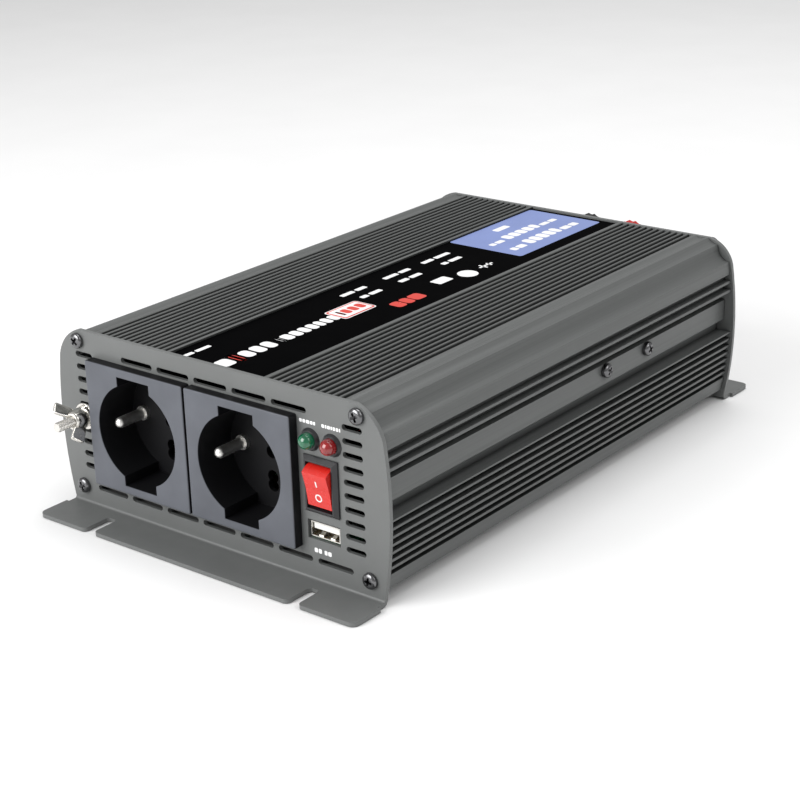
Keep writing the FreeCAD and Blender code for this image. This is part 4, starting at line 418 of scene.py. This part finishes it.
def rounded_outline(width, height, radius):
    """Points of a rectangle with round corners, centred on the origin."""
    steps = 4
    points = []
    for turn, (sx, sy) in enumerate(((1, 1), (-1, 1), (-1, -1), (1, -1))):
        centre = Vector((sx * (width / 2 - radius), sy * (height / 2 - radius)))
        for step in range(steps + 1):
            angle = math.pi / 2 * (turn + step / steps)
            points.append(centre + radius * Vector((math.cos(angle), math.sin(angle))))
    return points


def add_slab(mesh_data, outline, thickness, matrix):
    """A slab of a thickness on a flat outline."""
    rings = []
    for height in (0, thickness):
        rings.append([mesh_data.verts.new(matrix @ Vector((x, y, height))) for x, y in outline])
    close_tube(mesh_data, rings)


def facing(x, y, z, direction):
    """Matrix that puts local Z along a direction at a point, with local Y upwards where it can be."""
    forward = Vector(direction).normalized()
    up = Vector((0, 0, 1)) if abs(forward.z) < 0.9 else Vector((0, 1, 0))
    across = up.cross(forward).normalized()
    up = forward.cross(across)
    turn = Matrix((across, up, forward)).transposed().to_4x4()
    return Matrix.Translation((x, y, z)) @ turn


def centre_of(node):
    """Middle of a CAD node's box, in millimetres."""
    low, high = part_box(node)
    return (Vector(low) + Vector(high)) / 2 / MM


# ---------------------------------------------------------------- printed label
def label_print():
    """Generic print on the label: a blue block, plain bars and simple shapes, with no lettering."""
    low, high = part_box("top_label")
    top = high[2] / MM
    base = low[1] / MM - 2.1        # distances along the label are from just in front of it
    block = 169.5 + base            # front edge of the blue block
    inks = {ink: bmesh.new() for ink in ("white", "blue", "red", "grey")}

    def bar(ink, x_low, x_high, y_low, y_high, radius=0.3, level=0.0):
        """A flat bar with round corners, at a level above the label."""
        radius = min(radius, (x_high - x_low) / 2.01)
        outline = rounded_outline(x_high - x_low, y_high - y_low, radius)
        place = Matrix.Translation(((x_low + x_high) / 2, (y_low + y_high) / 2, top + level))
        add_slab(inks[ink], outline, INK_HEIGHT, place)

    def words(ink, x_low, x_high, y_start, lengths, gap=0.9, level=0.0):
        """A row of bars with gaps between them, in place of a line of lettering."""
        y = y_start
        for length in lengths:
            bar(ink, x_low, x_high, y, y + length, (x_high - x_low) * 0.25, level)
            y += length + gap

    # The block with its heading and its two rows.
    bar("blue", -22.0, 14.8, block, high[1] / MM - 2.2, 1.2)
    words("white", -17.2, -13.8, block + 24.0, (9.5,), level=INK_HEIGHT)
    for x_low, tall in ((-8.4, 5.4), (2.2, 6.2)):
        small = x_low + 2.6
        words("white", small, x_low + tall, block + 5.5, (3.2, 5.0), level=INK_HEIGHT)
        words("white", x_low, x_low + tall, block + 17.5, (4.2, 4.2, 4.2, 4.2, 3.6), 0.8, INK_HEIGHT)
        words("white", small, x_low + tall, block + 42.5, (5.6, 4.6), level=INK_HEIGHT)

    # Three pairs of short lines in the middle.
    for y_start, lengths in ((88.0, (7.5, 6.0)), (114.5, (8.5, 6.5)), (139.5, (7.0, 9.5))):
        words("white", -14.4, -12.0, y_start + base, lengths, 1.4)
    for y_start, lengths in ((91.0, (4.0, 6.8)), (115.0, (5.4, 6.8)), (143.0, (3.4, 7.6))):
        words("white", -6.9, -4.4, y_start + base, lengths, 1.4)

    # The long row at the front, and the small one beside it.
    words("white", -2.9, 4.1, 4.6 + base, (6.4,))
    words("red", -3.9, 4.9, 12.6 + base, (2.6,))
    words("white", -2.9, 4.1, 16.8 + base, (4.6, 4.6, 4.4), 1.3)
    words("white", -2.2, 3.6, 36.2 + base, (1.6, 4.2, 3.8, 3.6, 3.6, 3.0, 3.2, 3.2), 0.85)
    words("grey", -17.4, -15.4, 5.0 + base, (4.4, 7.4), 1.2)

    # A red frame on white with red bars in it, and a red row further back.
    bar("white", -5.6, 5.9, 68.2 + base, 86.8 + base, 1.4)
    bar("red", -5.1, 5.4, 68.7 + base, 86.3 + base, 1.1, INK_HEIGHT)
    bar("white", -4.4, 4.7, 69.4 + base, 85.6 + base, 0.7, 2 * INK_HEIGHT)
    words("red", -2.4, 2.7, 71.0 + base, (1.4, 3.2, 3.2, 3.2), level=3 * INK_HEIGHT)
    words("red", 8.0, 14.4, 90.2 + base, (5.0, 4.4, 6.4), 0.7)

    # A square, a disc, and one bar crossed by two.
    bar("white", 4.2, 9.8, 121.4 + base, 130.2 + base, 0.8)
    disc = [4.3 * Vector((math.cos(a), math.sin(a))) for a in (math.pi / 20 * k for k in range(40))]
    add_slab(inks["white"], disc, INK_HEIGHT, Matrix.Translation((10.4, 138.6 + base, top)))
    words("white", 9.4, 10.4, 147.4 + base, (8.6,))
    bar("white", 7.6, 12.2, 149.4 + base, 150.3 + base)
    bar("white", 8.4, 11.6, 153.2 + base, 154.1 + base)

    finishes = {"white": WHITE_INK, "blue": BLUE_INK, "red": RED_INK, "grey": WHITE_INK}
    for ink, mesh_data in inks.items():
        add_piece("label_print_" + ink, mesh_data, finishes[ink], "housing")


def panel_print():
    """Short plain bars above the lights and below the USB port."""
    bar_gap = 0.3
    mesh_data = bmesh.new()
    green, red = centre_of("green_light"), centre_of("red_light")
    usb = centre_of("usb_shell")
    rows = (    # start across, level, height and the widths of the bars
        (green.x - 4.6, green.z + 6.2, 1.25, (1.2, 1.2, 1.6, 1.1, 0.8)),
        (red.x - 4.3, red.z + 6.2, 1.25, (1.2, 0.7, 1.2, 0.6, 1.1, 1.0, 0.6)),
        (usb.x - 4.7, usb.z - 7.6, 1.7, (1.5, 1.5)),
        (usb.x - 0.2, usb.z - 7.6, 1.7, (1.3, 1.6)),
    )
    for x_start, level, height, widths in rows:
        x = x_start
        for width in widths:
            outline = rounded_outline(width, height, min(width, height) * 0.3)
            place = facing(x + width / 2, -FACE, level, OUT_OF_FRONT)
            add_slab(mesh_data, outline, PANEL_INK_HEIGHT, place)
            x += width + bar_gap
    add_piece("panel_print", mesh_data, WHITE_INK, "housing")


def usb_springs():
    """Two bowed springs that rise from the floor of the USB shell."""
    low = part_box("usb_shell")[0]
    floor, mouth = low[2] / MM + 0.4, low[1] / MM
    middle = centre_of("usb_shell").x
    steps, thick, length, bow = 12, 0.25, 6.5, 0.9
    mesh_data = bmesh.new()
    for offset in (-2.6, 2.6):
        rings = []
        for step in range(steps + 1):
            share = step / steps
            y = mouth + 0.7 + length * share
            rise = bow * math.sin(math.pi * min(1, share * 1.25)) ** 2 + 0.05
            half = 0.95 - 0.25 * share      # half the width, narrower towards the back
            corners = ((-half, rise), (half, rise), (half, rise + thick), (-half, rise + thick))
            rings.append([mesh_data.verts.new((middle + offset + u, y, floor + v)) for u, v in corners])
        close_tube(mesh_data, rings)
    add_piece("usb_springs", mesh_data, NICKEL, "housing", 50)


# ---------------------------------------------------------------- rocker marks
def rocker_marks():
    """The usual line and ring, printed on the two halves of the rocker."""
    low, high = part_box("switch_rocker")
    pivot = Vector(((low[0] + high[0]) / 2 / MM, *ROCKER_PIVOT))
    turn = Matrix.Translation(pivot) @ Matrix.Rotation(math.radians(ROCKER_REST), 4, "X")
    ink, clear = 0.06, 0.01         # thickness of the print, and how far its back is off the face
    crease = 4.3                    # how far the fold between the halves stands out from the pivot
    mesh_data = bmesh.new()

    def on_face(height):
        """A place on the hollowed face of the rocker at a height above its pivot, in its own frame."""
        lean = 0.4 / 6.6            # each half of the face leans out this much towards its end
        depth = -(crease + lean * abs(height))
        slope = -lean if height > 0 else lean
        forward = Vector((0, -1, slope)).normalized()
        return turn @ facing(0, depth - clear, height, forward)

    add_slab(mesh_data, rounded_outline(0.55, 2.5, 0.2), ink, on_face(2.7))
    outer, inner = 1.5, 1.02
    ring = [(inner, 0), (outer, 0), (outer, ink), (inner, ink), (inner, 0)]
    add_lathe(mesh_data, ring, on_face(-2.9), 40)
    add_piece("rocker_marks", mesh_data, WHITE_INK, "rocker")


# ---------------------------------------------------------------- screws
def screw_head(radius, height):
    """A domed pan head with a cross recess, local Z out of the head, as a mesh in millimetres."""
    flat, dome, dome_steps = 0.42, 0.58, 8      # shares of the radius and height, and rows of points
    mesh_data = bmesh.new()
    profile = [(0, -0.02), (radius * 0.96, -0.02), (radius, 0.12), (radius, height * flat)]
    for step in range(1, dome_steps + 1):
        angle = math.pi / 2 * step / dome_steps
        profile.append((radius * (flat + dome * math.cos(angle)), height * (flat + dome * math.sin(angle))))
    profile.append((0, height))
    add_lathe(mesh_data, profile, Matrix.Identity(4), 40)
    head = bpy.data.meshes.new("head")
    mesh_data.to_mesh(head)
    mesh_data.free()
    return cut_away(head, cross_tool(radius, height))


def cross_tool(radius, height):
    """Two tapered blades across each other, to cut the recess of a screw."""
    wide = radius * 1.15
    narrow = wide * 0.29
    levels = ((height - radius * 0.52, 0.45), (height + 0.3, 1.12))     # with the blades' scale there
    cutter = bmesh.new()
    for turn in (0, 90):
        place = Matrix.Rotation(math.radians(turn), 4, "Z")
        rings = []
        for level, scale in levels:
            ring = []
            for sx, sy in ((1, 1), (-1, 1), (-1, -1), (1, -1)):
                point = Vector((sx * wide / 2 * scale, sy * narrow / 2 * (0.7 + 0.3 * scale), level))
                ring.append(cutter.verts.new(place @ point))
            rings.append(ring)
        close_tube(cutter, rings)
    tool = bpy.data.meshes.new("cross")
    bmesh.ops.recalc_face_normals(cutter, faces=cutter.faces)
    cutter.to_mesh(tool)
    cutter.free()
    return tool


def cut_away(base_mesh, tool_mesh):
    """The first mesh without the space that the second one fills."""
    base = bpy.data.objects.new("head_base", base_mesh)
    tool = bpy.data.objects.new("head_tool", tool_mesh)
    for item in (base, tool):
        bpy.context.scene.collection.objects.link(item)
    boolean = base.modifiers.new("cross", "BOOLEAN")
    boolean.object = tool
    boolean.operation = "DIFFERENCE"
    boolean.solver = "EXACT"
    boolean.use_self = True
    graph = bpy.context.evaluated_depsgraph_get()
    result = bpy.data.meshes.new_from_object(base.evaluated_get(graph))
    for item in (base, tool):
        bpy.data.objects.remove(item)
    return result


def screws(name, node, places, direction, radius, height):
    """Domed screws in place of a CAD node's screws, each turned by a different amount."""
    head = screw_head(radius, height)
    first_turn, next_turn = 25, 28.9        # degrees
    mesh_data = bmesh.new()
    for index, (x, y, z) in enumerate(places):
        spin = Matrix.Rotation(math.radians(first_turn + next_turn * index), 4, "Z")
        start = len(mesh_data.verts)
        mesh_data.from_mesh(head)
        mesh_data.verts.ensure_lookup_table()
        place = facing(x, y, z, direction) @ spin
        bmesh.ops.transform(mesh_data, matrix=place, verts=mesh_data.verts[start:])
    item = add_piece(name, mesh_data, DARK_METAL, "housing", 30)
    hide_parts(node)


def all_screws():
    """The corner screws of both end panels and the clamp screws of both sides."""
    for end, node in ((-1, "front_panel_screws"), (1, "rear_panel_screws")):
        places = [(side * across, end * FACE, level) for across, level in PANEL_SCREWS for side in (1, -1)]
        screws(node + "_domed", node, places, (0, end, 0), radius=3.0, height=1.95)
    for side, node in ((1, "clamp_screws_right"), (-1, "clamp_screws_left")):
        places = [(side * CLAMP_FACE, y, CLAMP_LEVEL) for y in CLAMP_PLACES]
        screws(node + "_domed", node, places, (side, 0, 0), radius=2.85, height=2.3)


# ---------------------------------------------------------------- studs and nuts
def add_thread(mesh_data, radius, pitch, depth, low, high, matrix):
    """A stud with a real helical thread between two heights, chamfered at its free end."""
    segments, rows_per_turn, chamfer = 28, 8, 0.5
    core = radius - depth * 1.2         # where the chamfer starts from, just below the thread's root
    steps = int((high - low) / pitch * rows_per_turn)
    rings = []
    for row in range(steps + 1):
        height = low + (high - low) * row / steps
        ring = []
        for step in range(segments):
            turn = step / segments
            phase = (height / pitch - turn) % 1
            wave = abs(phase - 0.5) * 2
            reach = radius - depth * wave
            reach = min(reach, core + max(0.0, high - height) / chamfer * depth * 1.2)
            angle = 2 * math.pi * turn
            point = Vector((reach * math.cos(angle), reach * math.sin(angle), height))
            ring.append(mesh_data.verts.new(matrix @ point))
        rings.append(ring)
    close_tube(mesh_data, rings)


def earth_terminal():
    """Threaded earth bolt, flat and split washers, and a cast wing nut."""
    bolt = centre_of("earth_bolt")
    threaded_bolt(bolt)
    wing_nut(bolt)
    split_washer(bolt)
    flat_washer(bolt)


def threaded_bolt(bolt):
    """The stud with its thread, and the six-sided head behind the panel."""
    low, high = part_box("earth_bolt")
    place = facing(bolt.x, -FACE, bolt.z, OUT_OF_FRONT)
    length = -FACE - low[1] / MM
    inner = high[1] / MM + FACE         # how far the head reaches behind the panel's outer face
    mesh_data = bmesh.new()
    add_thread(mesh_data, radius=1.98, pitch=0.7, depth=0.26, low=-1.6, high=length, matrix=place)
    head = [(0, -inner), (2.9, -inner), (3.1, -inner + 0.3), (3.1, -1.75), (0, -1.75)]
    add_lathe(mesh_data, head, place, 6)
    bolt_piece = add_piece("earth_bolt_threaded", mesh_data, NICKEL, "housing", 40)
    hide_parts("earth_bolt")


def flat_washer(bolt):
    """A pressed washer, rounded on one side by its die."""
    low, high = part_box("earth_flat_washer")
    thick = (high[1] - low[1]) / MM
    place = facing(bolt.x, high[1] / MM, bolt.z, OUT_OF_FRONT)
    mesh_data = bmesh.new()
    profile = [(2.2, 0.02), (5.1, 0.02), (5.2, 0.12), (5.2, thick - 0.28), (5.0, thick - 0.05),
               (4.6, thick), (2.35, thick), (2.2, thick - 0.1), (2.2, 0.02)]
    add_lathe(mesh_data, profile, place, 64)
    washer = add_piece("earth_flat_washer_pressed", mesh_data, NICKEL, "earth_washers", 40)
    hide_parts("earth_flat_washer")


def split_washer(bolt):
    """A square-section spring washer, cut and slightly sprung."""
    low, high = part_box("earth_spring_washer")
    thick = (high[1] - low[1]) / MM
    place = facing(bolt.x, high[1] / MM, bolt.z, OUT_OF_FRONT)
    steps, gap, gap_at = 60, 10, 70     # the gap and where it is are in degrees
    sprung = thick * 0.22               # how far one end stands above the other
    section = ((2.25, 0.1), (4.05, 0.1), (4.2, 0.22), (4.2, thick * 0.68), (4.05, thick * 0.76),
               (2.25, thick * 0.76))
    mesh_data = bmesh.new()
    rings = []
    for step in range(steps + 1):
        angle = math.radians(gap / 2 + (360 - gap) * step / steps + gap_at)
        rise = sprung * (step / steps)
        ring = []
        for radius, level in section:
            point = Vector((radius * math.cos(angle), radius * math.sin(angle), level + rise))
            ring.append(mesh_data.verts.new(place @ point))
        rings.append(ring)
    close_tube(mesh_data, rings)
    item = add_piece("earth_split_washer", mesh_data, NICKEL, "earth_washers", 40)
    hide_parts("earth_spring_washer")


def wing_nut(bolt):
    """A hub with two swept wings, thick at the root and rounded at the tip."""
    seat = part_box("earth_wing_nut")[1][1] / MM
    place = facing(bolt.x, seat, bolt.z, OUT_OF_FRONT)
    mesh_data = bmesh.new()
    hub = [(2.05, 0.0), (3.9, 0.0), (4.1, 0.3), (3.95, 2.4), (3.5, 4.4), (3.25, 5.2), (2.9, 5.4),
           (2.4, 5.4), (2.05, 5.1), (2.05, 0.0)]
    add_lathe(mesh_data, hub, place, 48)
    item = add_piece("wing_nut_hub", mesh_data, NICKEL, "wing_nut", 45)
    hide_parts("earth_wing_nut")
    wings = bmesh.new()
    first_wing = 137                    # degrees round the bolt
    for angle in (first_wing, first_wing + 180):
        add_wing(wings, place @ Matrix.Rotation(math.radians(angle), 4, "Z"))
    item = add_piece("wing_nut_wings", wings, NICKEL, "wing_nut", 60)
    smooth = item.modifiers.new("smooth", "SUBSURF")
    smooth.levels = smooth.render_levels = 2
    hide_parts("earth_wing_nut")


def add_wing(mesh_data, matrix):
    """One wing, from its root on the hub to its tip."""
    stations = 8
    section = ((-1, -0.6), (-0.75, -1), (0.75, -1), (1, -0.6), (1, 0.6), (0.75, 1), (-0.75, 1), (-1, 0.6))
    root, tip = Vector((2.7, 2.9)), Vector((7.95, 8.55))    # outwards and along the bolt
    along = (tip - root).normalized()
    across = Vector((-along.y, along.x))
    rings = []
    for step in range(stations):
        share = step / (stations - 1)
        middle = root.lerp(tip, share)
        half_wide = 2.3 + 0.5 * share - 0.3 * max(0, share - 0.85) / 0.15
        half_thick = 1.05 - 0.28 * math.sin(math.pi * min(1, share * 0.8)) - 0.12 * share
        ring = []
        for u, v in section:
            spot = middle + across * u * half_wide
            ring.append(mesh_data.verts.new(matrix @ Vector((spot.x, v * half_thick, spot.y))))
        rings.append(ring)
    close_tube(mesh_data, rings)


# ---------------------------------------------------------------- stage
def camera():
    """The camera looks at the middle of the unit from its right front corner, slightly from above."""
    azimuth, elevation, roll = math.radians(38.82), math.radians(21.3), math.radians(-1.705)
    aim = Vector((-2.2, -8.3, 22.9)) * MM
    distance = 748.2 * MM
    back = Vector((math.sin(azimuth) * math.cos(elevation), -math.cos(azimuth) * math.cos(elevation),
                   math.sin(elevation)))
    level = Vector((math.cos(azimuth), math.sin(azimuth), 0))
    upright = back.cross(level)
    right = level * math.cos(roll) + upright * math.sin(roll)
    up = upright * math.cos(roll) - level * math.sin(roll)
    data = bpy.data.cameras.new("camera")
    data.sensor_width = 36
    data.lens = 83.98
    data.clip_start, data.clip_end = 0.01, 20       # metres
    item = bpy.data.objects.new("camera", data)
    bpy.context.scene.collection.objects.link(item)
    turn = Matrix((right, up, back)).transposed().to_4x4()
    item.matrix_world = Matrix.Translation(aim + back * distance) @ turn
    bpy.context.scene.camera = item


def soft_light(name, size, power, azimuth, elevation, distance):
    """A square area light aimed at the object: metres, watts and degrees."""
    data = bpy.data.lights.new(name, "AREA")
    data.shape = "SQUARE"
    data.size = size
    data.energy = power
    item = bpy.data.objects.new(name, data)
    a, e = math.radians(azimuth), math.radians(elevation)
    back = Vector((math.sin(a) * math.cos(e), -math.cos(a) * math.cos(e), math.sin(e)))
    item.location = back * distance
    item.rotation_mode = "QUATERNION"
    item.rotation_quaternion = (-back).to_track_quat("-Z", "Y")
    bpy.context.scene.collection.objects.link(item)


def stage():
    """A plain pale floor, a white world, three soft lights and the camera."""
    mesh_data = bmesh.new()
    bmesh.ops.create_grid(mesh_data, x_segments=8, y_segments=8, size=4)    # metres each way
    mesh = bpy.data.meshes.new("floor")
    mesh_data.to_mesh(mesh)
    mesh_data.free()
    floor = bpy.data.objects.new("floor", mesh)
    floor.location.z = -0.0002      # metres, so that it doesn't lie in the feet's plane
    bpy.context.scene.collection.objects.link(floor)
    paper = Surface("paper", (0.86, 0.86, 0.86), 0.9)
    paper.shade(paper.noise(60, detail=3), 0.01)
    mesh.materials.append(paper.material)
    world = bpy.data.worlds.new("studio")
    world.use_nodes = True
    background = world.node_tree.nodes["Background"]
    background.inputs["Color"].default_value = (1, 1, 1, 1)
    background.inputs["Strength"].default_value = 0.5
    bpy.context.scene.world = world
    bpy.context.scene.view_settings.view_transform = "Standard"
    soft_light("key", 0.9, 15, -20, 28, 1.3)
    soft_light("fill", 0.8, 5, 95, 40, 1.5)
    soft_light("top", 0.9, 9, 170, 72, 1.4)
    camera()


# ---------------------------------------------------------------- everything in place
paint_nodes()
label_print()
panel_print()
usb_springs()
rocker_marks()
all_screws()
earth_terminal()
stage()
